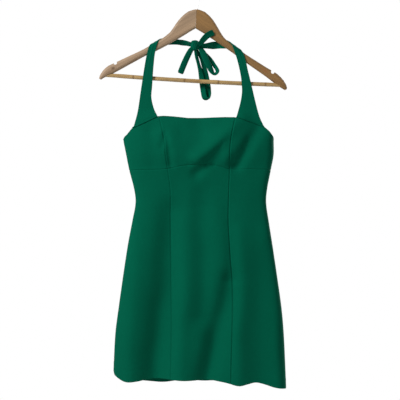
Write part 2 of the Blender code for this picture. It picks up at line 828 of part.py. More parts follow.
def arm_loop(section, sign):
    """Rounded loop of points around one section of a hanger arm."""
    top = Vector((section.top_x, 0.0, section.top_z))
    low = Vector((section.low_x, 0.0, section.low_z))
    up = (top - low).normalized()
    half_height = (top - low).length / 2
    middle = (top + low) / 2
    rounding = min(ARM_ROUNDING * section.half_depth / ARM_HALF_DEPTH, half_height * 0.92)
    loop = []
    for corner in range(4):
        side_y = 1 if corner in (0, 3) else -1
        side_up = 1 if corner in (0, 1) else -1
        for step in range(4):
            turn = math.pi / 2 * (corner + step / 3)
            y = side_y * (section.half_depth - rounding) + rounding * math.cos(turn)
            rise = side_up * (half_height - rounding) + rounding * math.sin(turn)
            point = middle + up * rise
            point.y = y
            point.x = max(point.x, MITRE_GAP) * sign
            loop.append(point * MM)
    return loop


def add_arm(side, sections, collection, wood, parent):
    sign = -1 if side == "left" else 1
    bm = bmesh.new()
    loops = []
    for section in smooth_rows(sections, 2):
        loops.append([bm.verts.new(point) for point in arm_loop(section, sign)])
    count = len(loops[0])
    for near, far in zip(loops, loops[1:]):
        for i in range(count):
            j = (i + 1) % count
            bm.faces.new((near[i], near[j], far[j], far[i]))
    bm.faces.new(loops[0])
    bm.faces.new(loops[-1])
    name = "hanger_arm_" + side
    return new_object(name, mesh_from(bm, name), collection, wood, parent)


def add_notch_cutter(side, notch, cutters, parent):
    """Upright slot with a round bottom, across the arm near its end."""
    sign = -1 if side == "left" else 1
    reach = 20.0
    bm = bmesh.new()
    corners = []
    for step in range(9):
        turn = math.pi * (1 + step / 8)
        corners.append((NOTCH_RADIUS * math.cos(turn), NOTCH_RADIUS * math.sin(turn)))
    corners += [(NOTCH_RADIUS * 1.25, reach), (-NOTCH_RADIUS * 1.25, reach)]
    face = bm.faces.new([bm.verts.new(Vector((x, -reach, z)) * MM) for x, z in corners])
    swept = bmesh.ops.extrude_face_region(bm, geom=[face])
    moved = [part for part in swept["geom"] if isinstance(part, bmesh.types.BMVert)]
    bmesh.ops.translate(bm, vec=Vector((0, 2 * reach * MM, 0)), verts=moved)
    cutter = new_object("notch_" + side, mesh_from(bm, "notch_" + side), cutters, None, parent)
    cutter.location = Vector((sign * notch.x, 0.0, notch.z)) * MM
    cutter.rotation_euler = (0.0, sign * NOTCH_SLANT, 0.0)
    return make_cutter(cutter)


def cylinder_mesh(name, radius, length):
    bm = bmesh.new()
    bmesh.ops.create_cone(
        bm, cap_ends=True, segments=20, radius1=radius * MM, radius2=radius * MM, depth=length * MM
    )
    return mesh_from(bm, name)


def add_tube(name, points, radius, collection, material, parent=None, widths=None):
    """Round rod through points, each with its own width share if any are given."""
    data = bpy.data.curves.new(name, "CURVE")
    data.dimensions = "3D"
    data.bevel_depth = radius * MM
    data.bevel_resolution = 2
    data.use_fill_caps = True
    spline = data.splines.new("POLY")
    spline.points.add(len(points) - 1)
    for i, point in enumerate(points):
        spline.points[i].co = (*(point * MM), 1.0)
        spline.points[i].radius = widths[i] if widths else 1.0
    spline.use_smooth = True
    return new_object(name, data, collection, material, parent)


def add_bar(collection, wood, parent):
    points = []
    widths = []
    for step in range(BAR_POINTS + 1):
        x = BAR_HALF_LENGTH * (2 * step / BAR_POINTS - 1)
        end_share = ease((abs(x) - BAR_TAPER_START) / (BAR_HALF_LENGTH - BAR_TAPER_START))
        radius = blend(BAR_RADIUS, BAR_END_RADIUS, end_share)
        for knuckle in KNUCKLES:
            radius += knuckle.swell * math.exp(-(((x - knuckle.x) / KNUCKLE_HALF_WIDTH) ** 2)) * (1 - end_share)
        sag = BAR_SAG * (1 - min(abs(x) / BAR_SAG_HALF_LENGTH, 1.0) ** 2)
        points.append(Vector((x, 0.0, -BAR_DROP - sag)))
        widths.append(radius / BAR_RADIUS)
    return add_tube("hanger_bar", points, BAR_RADIUS, collection, wood, parent, widths)


def hook_points():
    """Centre line of the wire: stem up out of the wood, neck to the right, then round the rail."""
    ring_radius = HOOK_INNER_RADIUS + WIRE_RADIUS
    centre = Vector((0.0, 0.0, -HOOK_INNER_RADIUS))
    shank = Vector((math.sin(HANGER_TILT), 0.0, math.cos(HANGER_TILT)))
    stem = Vector((math.sin(STEM_LEAN), 0.0, math.cos(STEM_LEAN)))
    stem_top = HANGER_CREST + stem * STEM_LENGTH
    start_turn = math.radians(-48)
    end_turn = math.radians(196)
    join = centre + ring_radius * Vector((math.cos(start_turn), 0.0, math.sin(start_turn)))
    join_slope = Vector((-math.sin(start_turn), 0.0, math.cos(start_turn))) * NECK_SWEEP
    points = [HANGER_CREST - shank * SHANK_DEPTH, HANGER_CREST]
    for step in range(8):
        points.append(hermite(stem_top, join, stem * NECK_SWEEP, join_slope, step / 8))
    for step in range(21):
        turn = blend(start_turn, end_turn, step / 20)
        points.append(centre + ring_radius * Vector((math.cos(turn), 0.0, math.sin(turn))))
    return points


def add_hanger(collection, cutters):
    wood_left = new_material("wood left", WOOD_LEFT, 0.5)
    wood_right = new_material("wood right", WOOD_RIGHT, 0.5)
    wood_bar = new_material("wood bar", WOOD_BAR, 0.45)
    metal = new_material("hook metal", METAL, 0.25, 1.0)
    pose = bpy.data.objects.new("hanger_pose", None)
    collection.objects.link(pose)
    pose.location = HANGER_CREST * MM
    pose.rotation_euler = (0.0, HANGER_TILT, 0.0)

    bar_hole = new_object(
        "bar_hole", cylinder_mesh("bar_hole", BAR_END_RADIUS + HOLE_FIT, 2 * (BAR_HALF_LENGTH + HOLE_FIT)),
        cutters, None, pose,
    )
    bar_hole.location = (0.0, 0.0, -BAR_DROP * MM)
    bar_hole.rotation_euler = (0.0, math.pi / 2, 0.0)
    make_cutter(bar_hole)
    shank_hole = new_object(
        "shank_hole", cylinder_mesh("shank_hole", WIRE_RADIUS + HOLE_FIT, 2 * (SHANK_DEPTH + HOLE_FIT)),
        cutters, None, pose,
    )
    make_cutter(shank_hole)
    arms = (
        ("left", LEFT_ARM, LEFT_NOTCH, wood_left),
        ("right", RIGHT_ARM, RIGHT_NOTCH, wood_right),
    )
    for side, sections, notch, wood in arms:
        arm = add_arm(side, sections, collection, wood, pose)
        cut(arm, add_notch_cutter(side, notch, cutters, pose))
        cut(arm, bar_hole)
        cut(arm, shank_hole)
    add_bar(collection, wood_bar, pose)
    add_tube("hanger_hook", hook_points(), WIRE_RADIUS, collection, metal)


def main():
    remove_old_objects()
    collection = new_collection("halter dress on a hanger")
    cutters = new_collection("cutters")
    cloth = new_material("green crepe", GREEN, 0.75)
    add_dress_body(collection, cloth)
    left_foot = LEFT_COLUMNS[STRAP_FOOT]
    right_foot = RIGHT_COLUMNS[STRAP_FOOT]
    straps = (
        add_strap("left", left_foot, LEFT_STRAP, LEFT_TIE, LEFT_ARM, collection, cloth),
        add_strap("right", right_foot, RIGHT_STRAP, RIGHT_TIE, RIGHT_ARM, collection, cloth),
    )
    add_bow(collection, cutters, cloth, straps)
    add_hanger(collection, cutters)
    bpy.context.view_layer.update()


main()
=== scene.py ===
"""Looks of the green halter dress that hangs on a wooden hanger.

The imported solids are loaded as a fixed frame. Every cloth solid is replaced by a thin shell with
its seams, turned edges and creases, and the hanger's solids get their wood, cane and metal.
All tables are in millimetres, with X to the right of the picture, Y to the back and Z up.
"""

import math
from collections import namedtuple

import bmesh
import bpy
import numpy as np
from bpy.props import FloatProperty, FloatVectorProperty, PointerProperty
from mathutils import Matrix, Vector


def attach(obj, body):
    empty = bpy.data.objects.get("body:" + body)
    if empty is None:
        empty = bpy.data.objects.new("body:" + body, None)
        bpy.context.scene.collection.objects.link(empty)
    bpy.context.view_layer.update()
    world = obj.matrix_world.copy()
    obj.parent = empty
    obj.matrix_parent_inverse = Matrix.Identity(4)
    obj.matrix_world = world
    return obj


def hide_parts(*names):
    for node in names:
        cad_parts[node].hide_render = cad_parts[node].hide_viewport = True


bl_info = {
    "name": "Halter dress on a hanger",
    "version": (1, 0, 0),
    "blender": (4, 5, 0),
    "location": "View3D > Sidebar > Halter dress",
    "description": "Builds the cloth, wood and metal of a halter dress on a wooden hanger",
    "category": "Object",
}

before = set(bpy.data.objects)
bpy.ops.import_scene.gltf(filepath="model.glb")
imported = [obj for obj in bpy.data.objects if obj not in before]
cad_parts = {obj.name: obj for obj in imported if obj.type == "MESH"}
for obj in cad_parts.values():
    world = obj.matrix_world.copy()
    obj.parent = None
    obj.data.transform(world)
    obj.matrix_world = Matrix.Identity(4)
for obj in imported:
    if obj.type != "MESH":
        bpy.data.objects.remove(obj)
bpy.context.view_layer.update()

MM = 0.001

# Power of the rounded oblong that the dress has in section: 2 is an ellipse, more is flatter
FLATNESS = 3.0

# Rough sizes, steps and counts that set how fine the mesh of each part is
BUST_LENGTH = 105
SKIRT_LENGTH = 500
BACK_SIZE = (185, 570)
STRAP_LENGTH = 150
STRAP_STEP = 3
STRAP_COLUMNS = 31
ARM_STEPS = 2
ROLL_STEPS = 24
TIE_STEPS = 8
BAND_STEPS = 9
BAND_POINTS = 28
KNOT_ROWS = 49
KNOT_POINTS = 72

# Rounds in which a place that depends on itself settles
PANEL_ROUNDS = 14
STRAP_ROUNDS = 8
ROLL_ROUNDS = 20

# Degrees between faces from which an edge is shown sharp
SHELL_SHARPNESS = 50
TUBE_SHARPNESS = 70


def rows_of(kind, *rows):
    return [kind(*row) for row in rows]


# One row for each level: the dress's edges at the side seams and how far front and back bulge
Section = namedtuple("Section", "z left right front back")
SECTIONS = rows_of(
    Section,
    (-964, -199.6, 207.4, 34, 30), (-922, -199.2, 206, 34, 30), (-834, -194.9, 201.8, 34, 29),
    (-773, -187.1, 196.4, 33, 28), (-695, -176.1, 185.5, 31, 26), (-624, -165.2, 174.9, 28, 22),
    (-568, -154.6, 166.1, 24, 18), (-527, -147.5, 160.5, 22, 16), (-497, -150.3, 162.4, 23, 16),
    (-449, -162.4, 171.4, 27, 15), (-414, -169.4, 177.9, 34, 15), (-377, -176.4, 178.2, 33, 14),
    (-342, -179.4, 181, 22, 13), (-308, -182.2, 183.8, 12, 12),
)

# Princess seams: the side position of each seam at a level
Seam = namedtuple("Seam", "z left right")
PRINCESS_SEAMS = rows_of(
    Seam,
    (-964, -65.6, 76), (-834, -65.2, 77.2), (-712, -64.9, 78.6), (-624, -64.9, 74.1),
    (-563, -65, 71), (-497, -64.4, 72.5), (-448, -71, 73.9), (-412, -75.8, 73.9),
    (-378, -79.3, 76.5), (-350, -85, 81.9), (-325, -91.3, 87.3),
)

# Edges across the front and the back: the height of each at a side position
Edge = namedtuple("Edge", "x z")
UNDER_BUST = rows_of(
    Edge,
    (-161.2, -450.6), (-115, -450), (-72.5, -447.7), (-34.5, -440.2), (-2.6, -438.3),
    (30.4, -437.3), (73.9, -448.2), (120, -448.4), (170.6, -449.6),
)
FRONT_TOP = rows_of(
    Edge,
    (-176.4, -376.8), (-173.2, -372), (-166.9, -366.8), (-154.4, -351.2), (-141, -342.2),
    (-118.5, -331.2), (-96, -323.8), (-80.5, -322.8), (-56.2, -324.4), (-23.8, -328),
    (8.7, -327.6), (63, -326), (89.6, -326.6), (103.6, -332.4), (127.9, -340.3),
    (149.6, -345.9), (155.1, -349), (167.3, -359.7), (176.8, -371.8), (178.2, -377.4),
)
BACK_TOP = rows_of(
    Edge,
    (-176.4, -376.8), (-90, -381), (0, -384), (90, -381), (178.2, -377.4),
)
FRONT_HEM = rows_of(
    Edge,
    (-199, -923), (-196, -931), (-171, -944.2), (-141, -943.6), (-118, -940.4), (-89, -939.4),
    (-36, -941), (9, -941.2), (40, -942.4), (62, -945.2), (95, -952.4), (115, -949.2),
    (135, -946), (159, -952), (178, -958.2), (206.8, -963.2),
)
BACK_HEM = rows_of(
    Edge,
    (-199, -923), (-196, -932), (-172, -948), (-141, -951), (-78, -953.6), (-36, -950.6),
    (40, -952), (95, -960), (135, -955), (178, -961), (206.8, -963.2),
)

# How deep each seam sinks and how much it puckers, as shares, and the depth of the valley that it
# lies in below the waist
SEAM_STRENGTHS = {
    "side": (0.3, 0.3, 0),
    "left princess": (0.5, 1, 5),
    "right princess": (0.85, 0.7, 4.4),
    "centre back": (0.8, 0.6, 2.4),
}
VALLEY_REACH = 17
VALLEY_TOP = -480
VALLEY_END = -960
UNDER_BUST_STRENGTH = 0.6
FOOT_SEAM_STRENGTH = 0.4

# How strongly the cloth puckers along the seams of each part
RIPPLES = {"bust": 0.16, "skirt": 0.07, "back": 0.06}

# Stretch of the bust panels' top edge that the straps are sewn to, and the gap there
LEFT_FOOT = (-154.4, -96)
RIGHT_FOOT = (155.1, 89.6)
FOOT_GAP = 0.15

# Folds: a soft ridge, or a trough where the heights are below zero, from one place to another
Fold = namedtuple("Fold", "x0 z0 x1 z1 half_width height0 height1")
FRONT_FOLDS = rows_of(
    Fold,
    # the bust
    (-78, -383, -78, -383, 46, 2, 2), (80, -383, 80, -383, 46, 6, 6),
    (-112, -360, -107, -436, 18, -5, -2), (181, -368, 176, -440, 23, 10, 9),
    (102, -330, -1, -424, 19, 6.5, 9.5), (74, -381, 8, -447, 13, -2, -4),
    (62, -382, 14, -432, 5, -0.8, -2), (63, -394, 62, -428, 9, 1.5, 2),
    (138, -358, 86, -438, 15, -7, -11), (118, -376, 92, -420, 5, -1.5, -1.5),
    (-5, -459, -5, -459, 13, -5, -5), (-36, -362, 2, -366, 18, -3.5, -3.5),
    (6, -320, -2, -376, 24, -5, -1.5), (168, -390, 164, -590, 60, 6.5, 3),
    (-80, -366, -86, -396, 6, -3.6, -2.2), (-24, -439, 34, -438, 5, -1.4, -1.4),
    (34, -438, 70, -447, 5, -1.4, -1.2), (-74, -376, -66, -438, 6, -3.2, -2.4),
    (-66, -404, -62, -440, 9, -1.6, -2),
    # the waist
    (-120, -500, -60, -512, 10, 0.5, 0.2), (30, -486, 110, -496, 9, -0.5, -0.3),
    (-20, -520, 52, -514, 10, 0.4, -0.3), (166, -466, 170, -600, 20, 6.5, 4),
    # the skirt
    (-146, -540, -168, -992, 24, 1, 8), (-58, -500, -105, -992, 33, -2, -27),
    (-36, -540, -40, -992, 20, 0, 4), (11, -510, 11, -790, 25, -3, -9),
    (84, -560, 75, -705, 15, 0, -4), (72, -712, 10, -992, 25, -9, -20),
    (98, -600, 94, -992, 22, 2, 8), (142, -540, 148, -992, 24, -1, -5),
    (184, -600, 194, -992, 16, 1, 7),
)
BACK_FOLDS = rows_of(
    Fold,
    (-140, -612, -146, -992, 20, 0, 6), (-96, -552, -88, -992, 19, 0, -8),
    (-40, -652, -36, -992, 20, 1, 6), (8, -572, 14, -992, 17, 0, -7),
    (62, -622, 56, -992, 19, 1, 7), (104, -592, 112, -992, 18, 0, -8),
    (152, -652, 160, -992, 16, 1, 5), (-30, -404, 40, -432, 18, -3, -2),
    (-120, -420, -70, -470, 14, -1.5, 0.6), (110, -430, 60, -476, 14, -1.6, 0.5),
    (-90, -500, 20, -516, 12, -1, -0.4), (30, -498, 120, -508, 11, 0.6, -0.7),
)

# Straps: the side position of the outer and inner edge at a level
StrapRow = namedtuple("StrapRow", "z outer inner")
LEFT_STRAP = rows_of(
    StrapRow,
    (-352, -152, -88), (-324, -144.5, -95.2), (-308, -141.2, -102.9), (-289.1, -138.3, -108.3),
    (-275, -136.3, -109.9), (-253, -133.2, -108), (-229, -129.5, -106.6),
    (-202.5, -125.4, -104.5), (-178.5, -120.9, -101.9), (-159.3, -116.2, -97.6),
    (-137, -110.4, -91.4),
)
RIGHT_STRAP = rows_of(
    StrapRow,
    (-352, 156, 82), (-328, 145.2, 89), (-309.2, 139.8, 94.6), (-286.8, 134.2, 100.4),
    (-265.5, 129.2, 103.2), (-248.3, 125.2, 102.6), (-232.5, 121.4, 101), (-214.6, 117, 97.8),
    (-195.2, 112.9, 93.1), (-182, 109, 89.3), (-168.8, 104.4, 84.6), (-152, 99.2, 79.4),
)

# Creases along a strap: share of its width, how much that drifts, height and half width
STRAP_CREASES = (
    (0.3, 0.05, -0.9, 0.07),
    (0.62, -0.06, -0.7, 0.06),
    (0.47, 0.03, 0.5, 0.08),
)

# How far the upper edge of the ties leans to the front between an arm and the knot
TIE_TILT = 1.1

# Ties behind the hanger arms: centre, direction of the line across the tie and its length
TieRow = namedtuple("TieRow", "x y z across width")
LEFT_TIE = rows_of(
    TieRow,
    (-75, 8.7, -146.6, 47, 18.5), (-59, 9.2, -146, 66, 14), (-44, 11, -146.2, 82, 12),
    (-30, 9.4, -147.8, 90, 10), (-19, 6.6, -150.8, 92, 9), (-9, 5, -154, 92, 7.5),
)
RIGHT_TIE = rows_of(
    TieRow,
    (57, 8.7, -153, 124, 21), (45, 11.5, -152.8, 106, 16.5), (33, 11.2, -153.2, 93, 14),
    (18, 8.6, -154.6, 90, 10), (7, 6.4, -155.6, 90, 8.5), (-3, 5.6, -156.4, 90, 7),
)

# Bow: centre of the band, its turn about its own length (0 faces the front) and its width
BandRow = namedtuple("BandRow", "x y z turn width")
LOOP_LONG = rows_of(
    BandRow,
    (-6, 3, -161, 38, 7.2), (-5.8, 4, -170, 36, 7.4), (-3.2, 5.5, -182, 32, 9),
    (1.4, 8, -199, 22, 8.6), (6, 11, -216, 10, 11.4), (8.4, 12, -232, -6, 12.8),
    (10, 12.2, -248.5, -16, 12.8), (12.8, 12, -265.5, -22, 13.4),
    (15.2, 12.6, -276.2, -30, 13.8), (20, 14, -280, -60, 12.6), (25.6, 15.2, -278, -106, 13),
    (25.2, 16, -270.5, -150, 13.5), (24.2, 16, -261, -176, 13.6),
    (22.7, 15.8, -247.5, -188, 13.8), (19.4, 15.6, -228, -190, 13),
    (14.8, 14.6, -207, -194, 11.6), (8, 12.4, -185, -206, 10.4), (0, 10.6, -171.5, -212, 8),
    (-4, 9, -162, -212, 6.4),
)
LOOP_SHORT = rows_of(
    BandRow,
    (0.5, 8, -156.5, 52, 11), (7, 6, -163.2, 44, 15.5), (12.2, 1.8, -173.4, 20, 15.5),
    (17.6, -1.6, -187, 17, 15.2), (24, -3, -200, 18, 14.5), (30, -2.8, -212.8, 26, 14.2),
    (35.4, -1.6, -220.6, 46, 12.5), (41, 0.8, -222, 56, 12.5), (45.6, 3, -216.6, 54, 12.5),
    (43.4, 5, -209.6, 30, 9.5), (37.6, 6.4, -200.6, 2, 9.4), (31, 7.4, -190, -18, 9.8),
    (22.5, 8.6, -179.5, -26, 9.6), (13, 9, -170, -34, 8), (3, 8, -163.5, -36, 6),
)
END_LOW = rows_of(
    BandRow,
    (-11, -0.5, -159.5, 14, 9.2), (-18.2, -2.2, -169, 18, 13), (-25.4, -3.6, -183, 18, 14.2),
    (-32.8, -4.2, -199.5, 16, 14.6), (-42, -4.4, -222.5, 14, 14.6),
)
END_HIGH = rows_of(
    BandRow,
    (0, 1.5, -155.6, 150, 8.6), (6.8, -2, -149.2, 150, 12.6), (13.6, -7.2, -141.6, 152, 14.6),
    (22.4, -10, -133.6, 154, 15), (36.6, -10, -126, 158, 14.8),
)

# Powers that square off a band's section: lower gives fuller edges and flatter faces
BAND_SIDE_POWER = 0.75
BAND_BULGE_POWER = 0.6

# Knot: its place, half its size, its turn about the upright axis, how much its round form is
# squared off (1 is an ellipsoid), and how far from its poles, in radians, the mesh is shut
KNOT_CENTRE = np.array((-7, 3, -155.6))
KNOT_HALF_SIZE = np.array((10.8, 7.6, 12.8))
KNOT_TURN = math.radians(24)
KNOT_SQUARENESS = 0.85
KNOT_POLE = 0.06
KNOT_CREASES = (
    # place across the knot, height and half width
    (-0.45, -0.09, 0.08),
    (-0.1, -0.06, 0.07),
    (0.28, -0.12, 0.1),
    (0.62, -0.07, 0.08),
)

# Hanger: its place and the top line of each arm, outward from the mitre
HANGER_CREST = np.array((-3.3, 0, -69.9))
HANGER_TILT = math.radians(3.3)
ARM_HALF_DEPTH = 6.5
ARM_FIT = 0.4
LEFT_ARM_TOP = rows_of(
    Edge,
    (0, 0), (19.2, -6.5), (35.7, -21.7), (47.4, -38.2), (59.5, -58), (80, -76), (101, -89.6),
    (122, -103.2), (150.4, -118.5), (178, -133.5), (201, -146),
)
RIGHT_ARM_TOP = rows_of(
    Edge,
    (0, 0), (20.4, -5.8), (40.4, -23.6), (54.2, -43.4), (67, -61.8), (80, -73.2), (101, -86.6),
    (122, -100), (147.5, -114.4), (174.5, -129.2), (199, -142),
)

# First and last row of the straight stretch in both arms' tables
STRAIGHT_START = 5
STRAIGHT_END = 7

# Bar: how far it lies below the crest, and the places of its joints from the middle
BAR_DROP = 167.8
CANE_JOINTS = (-140, -90, -19, 61, 118, 172)

# Slant of the grain in each arm
LEFT_GRAIN = math.radians(-30)
RIGHT_GRAIN = math.radians(35)

# Darker marks on each arm, in metres: centre, radius along each axis, colour and strength
Mark = namedtuple("Mark", "centre radius colour strength")
LEFT_MARKS = (
    Mark((-0.2, -0.006, -0.2105), (0.006, 0.012, 0.004), (0.1, 0.055, 0.028), 0.8),
    Mark((-0.206, -0.006, -0.217), (0.02, 0.012, 0.003), (0.17, 0.1, 0.055), 0.6),
    Mark((-0.15, -0.006, -0.19), (0.03, 0.012, 0.002), (0.2, 0.12, 0.07), 0.5),
    Mark((-0.06, -0.006, -0.14), (0.04, 0.012, 0.003), (0.22, 0.14, 0.085), 0.4),
)
RIGHT_MARKS = (
    Mark((0.157, -0.006, -0.216), (0.012, 0.012, 0.004), (0.26, 0.105, 0.036), 0.7),
    Mark((0.175, -0.006, -0.24), (0.01, 0.012, 0.003), (0.12, 0.055, 0.02), 0.7),
    Mark((0.09, -0.006, -0.17), (0.03, 0.012, 0.003), (0.15, 0.09, 0.03), 0.5),
    Mark((0.05, -0.006, -0.125), (0.02, 0.012, 0.004), (0.25, 0.12, 0.04), 0.5),
)

# Stage, in metres: the middle of the picture, its height for the camera and for the lights
STAGE_X = 0.0045
CAMERA_Z = -0.5204
LIGHT_TARGET = Vector((STAGE_X, 0, -0.52))
FLOOR_Z = -1.45
SENSOR_WIDTH = 36
BACK_LIGHT_SHARE = 0.75


def size_choice(name, description, default, low, high):
    """Length that the user can change, given in millimetres."""
    return FloatProperty(
        name=name, description=description, default=default * MM, min=low * MM, max=high * MM,
        unit="LENGTH", precision=4,
    )


def colour_choice(name, description, default):
    return FloatVectorProperty(
        name=name, description=description, subtype="COLOR", default=default, min=0, max=1
    )


def stage_choice(name, description, default, low, high, unit="NONE"):
    return FloatProperty(
        name=name, description=description, default=default, min=low, max=high, unit=unit
    )


class DressSizes(bpy.types.PropertyGroup):
    wall: size_choice("Cloth thickness", "Thickness of the crepe with its lining", 1.6, 0.5, 3)
    band_wall: size_choice("Strap thickness", "Thickness of straps, ties and bow", 1.8, 0.5, 3)
    seam_depth: size_choice("Seam depth", "How far the cloth sinks at a seam", 1.2, 0, 1.4)
    seam_width: size_choice("Seam width", "Half the width of a seam's groove", 1.1, 0.3, 5)
    hem_turn: size_choice("Hem allowance", "Height of the cloth turned up inside", 25, 5, 60)
    grid_step: size_choice("Mesh step", "Distance between the mesh's points", 3, 1.5, 12)


class DressColours(bpy.types.PropertyGroup):
    cloth: colour_choice("Crepe", "Green of the crepe", (0.0006, 0.089, 0.0485))
    cloth_deep: colour_choice("Crepe, deep", "Deeper green of its grain", (0.0004, 0.074, 0.04))
    wood_left: colour_choice("Left arm", "Pale pinkish wood", (0.33, 0.222, 0.136))
    wood_right: colour_choice("Right arm", "Yellow brown wood", (0.248, 0.134, 0.046))
    cane: colour_choice("Bar", "Peeled cane of the bar", (0.42, 0.272, 0.108))
    metal: colour_choice("Hook", "Polished wire of the hook", (0.52, 0.5, 0.49))


class StageSizes(bpy.types.PropertyGroup):
    camera_distance: stage_choice("Camera distance", "To the dress", 2.2, 0.5, 10, "LENGTH")
    view_height: stage_choice("View height", "Height of the picture", 0.944, 0.1, 5, "LENGTH")
    key_power: stage_choice("Key light", "Soft light at the upper left", 117, 0, 500, "POWER")
    fill_power: stage_choice("Fill light", "Soft light at the right", 10, 0, 500, "POWER")
    sky_strength: stage_choice("Room light", "Strength of the room's even light", 0.12, 0, 2)


def blend(low, high, share):
    return low + (high - low) * share


def ease(share):
    share = np.clip(share, 0, 1)
    return share * share * (3 - 2 * share)


def hill(distance, half_width):
    return np.exp(-((distance / half_width) ** 2))


def signed_power(values, power):
    return np.sign(values) * np.abs(values) ** power


def unit(vectors):
    return vectors / np.linalg.norm(vectors, axis=-1, keepdims=True)


def hermite(start, end, start_slope, end_slope, share):
    """Value between two values, leaving and arriving with the slopes given per step."""
    square = share * share
    cube = square * share
    return (
        start * (2 * cube - 3 * square + 1)
        + start_slope * (cube - 2 * square + share)
        + end * (3 * square - 2 * cube)
        + end_slope * (cube - square)
    )


def curve(rows, key, column):
    """Function that reads a column of a table smoothly at values of its key column."""
    ordered = sorted(rows, key=lambda row: getattr(row, key))
    keys = np.array([getattr(row, key) for row in ordered], float)
    values = np.array([getattr(row, column) for row in ordered], float)
    order = np.arange(len(keys))
    before = np.maximum(order - 1, 0)
    after = np.minimum(order + 1, len(keys) - 1)
    slopes = (values[after] - values[before]) / (keys[after] - keys[before])

    def read(at):
        at = np.clip(at, keys[0], keys[-1])
        i = np.clip(np.searchsorted(keys, at, side="right") - 1, 0, len(keys) - 2)
        step = keys[i + 1] - keys[i]
        share = (at - keys[i]) / step
        return hermite(values[i], values[i + 1], slopes[i] * step, slopes[i + 1] * step, share)

    return read


def smooth_rows(rows, steps):
    """The rows of a table as an array, with more rows between them on a smooth curve."""
    table = np.array(rows, float)
    last = len(table) - 1
    result = []
    for i in range(last):
        before = table[max(i - 1, 0)]
        after = table[min(i + 2, last)]
        start_slope = (table[i + 1] - before) / 2
        end_slope = (after - table[i]) / 2
        for step in range(steps):
            result.append(hermite(table[i], table[i + 1], start_slope, end_slope, step / steps))
    result.append(table[last])
    return np.array(result)


left_edge = curve(SECTIONS, "z", "left")
right_edge = curve(SECTIONS, "z", "right")
front_depth = curve(SECTIONS, "z", "front")
back_depth = curve(SECTIONS, "z", "back")
left_princess = curve(PRINCESS_SEAMS, "z", "left")
right_princess = curve(PRINCESS_SEAMS, "z", "right")
under_bust = curve(UNDER_BUST, "x", "z")
back_top = curve(BACK_TOP, "x", "z")
front_hem = curve(FRONT_HEM, "x", "z")
back_hem = curve(BACK_HEM, "x", "z")


def front_top(x):
    """Height of the front's top edge, straight from row to row."""
    return np.interp(x, *zip(*FRONT_TOP))


def fold_height(folds, x, z):
    """How far the folds lift the cloth at places. Their lines waver a little."""
    lift = np.zeros(np.broadcast(x, z).shape)
    x = x + 2.2 * np.sin(z / 47 + 1) + 1.2 * np.sin(z / 19 + x / 60)
    for fold in folds:
        along_x = fold.x1 - fold.x0
        along_z = fold.z1 - fold.z0
        length_squared = max(along_x**2 + along_z**2, 1e-6)
        covered = (x - fold.x0) * along_x + (z - fold.z0) * along_z
        share = np.clip(covered / length_squared, 0, 1)
        away = np.hypot(x - fold.x0 - share * along_x, z - fold.z0 - share * along_z)
        growth = np.sqrt(share) * ease(10 * share)
        lift += blend(fold.height0, fold.height1, growth) * hill(away, fold.half_width)
    return lift


def middle_and_half(z):
    """Middle of the dress across at a level, and half of its width there."""
    left = left_edge(z)
    right = right_edge(z)
    return (left + right) / 2, (right - left) / 2


def ring_x(angle, z):
    middle, half = middle_and_half(z)
    return middle + half * np.cos(angle)


def ring_points(angle, z):
    """Points on the outside of the dress: 0 is the right side seam, 90 degrees the front."""
    x = ring_x(angle, z)
    rise = np.sin(angle)
    front = front_depth(z) + fold_height(FRONT_FOLDS, x, z)
    back = back_depth(z) + fold_height(BACK_FOLDS, x, z)
    slack = 0.25 * np.sin(x / 13 + z / 41) * np.sin(z / 19 - x / 57)
    depth = np.where(rise >= 0, front, back) + slack
    flat = np.sign(rise) * (1 - np.abs(np.cos(angle)) ** FLATNESS) ** (1 / FLATNESS)
    return np.stack((x, -depth * flat, z + np.zeros_like(x)), axis=-1)


def angle_at(x, z):
    """Angle of the front of the ring at side positions."""
    middle, half = middle_and_half(z)
    return np.arccos(np.clip((x - middle) / half, -1, 1))


def front_surface(x, z):
    return ring_points(angle_at(x, z), z)[..., 1]


def seam_angle(seam):
    """Function that reads the angle of a princess seam at a level."""
    return lambda z: angle_at(seam(z), z)


def fixed_angle(angle):
    return lambda z: np.full_like(z, angle)


def fine_shares(length, step):
    """Shares of a length, close together at both ends, where the edges are rounded."""
    close = [0.0005, 0.5, 1, 1.6, 2.3, 3.1, 4.2]
    count = max(int((length - 2 * close[-1]) / step), 2)
    middle = np.linspace(close[-1], length - close[-1], count + 1)[1:-1]
    places = np.concatenate((close, middle, length - np.array(close[::-1])))
    return places / length


def ring_normals(angle, z):
    around = ring_points(angle + 0.01, z) - ring_points(angle - 0.01, z)
    upward = ring_points(angle, z + 1) - ring_points(angle, z - 1)
    return unit(np.cross(upward, around))


def panel_grid(first, last, top, bottom, columns, rows):
    """Points of a panel on the dress and their normals, from its bottom row to its top row."""
    upward = rows[:, None]
    across = columns[None, :]
    z = np.full((len(rows), len(columns)), float(top(0) + bottom(0)) / 2)
    for _ in range(PANEL_ROUNDS):
        angle = blend(first(z), last(z), across)
        x = ring_x(angle, z)
        z = blend(bottom(x), top(x), upward)
    return ring_points(angle, z), ring_normals(angle, z)


def grid_normals(grid):
    return unit(np.cross(np.gradient(grid, axis=0), np.gradient(grid, axis=1)))


def lengths_along(grid, axis):
    """Distance of each point from the first of its row or column, and from the last."""
    steps = np.linalg.norm(np.diff(grid, axis=axis), axis=-1)
    start = np.zeros_like(np.take(steps, [0], axis=axis))
    walked = np.concatenate((start, np.cumsum(steps, axis=axis)), axis=axis)
    total = np.take(walked, [-1], axis=axis)
    return walked, total - walked


def seam_shape(distance, sizes):
    """Sunk groove at a sewn seam, with the cloth slightly full beside it."""
    width = sizes.seam_width / MM
    depth = sizes.seam_depth / MM
    fullness = 0.22 * depth * hill(distance - 2.6 * width, 1.4 * width)
    return fullness - depth * hill(distance, width)


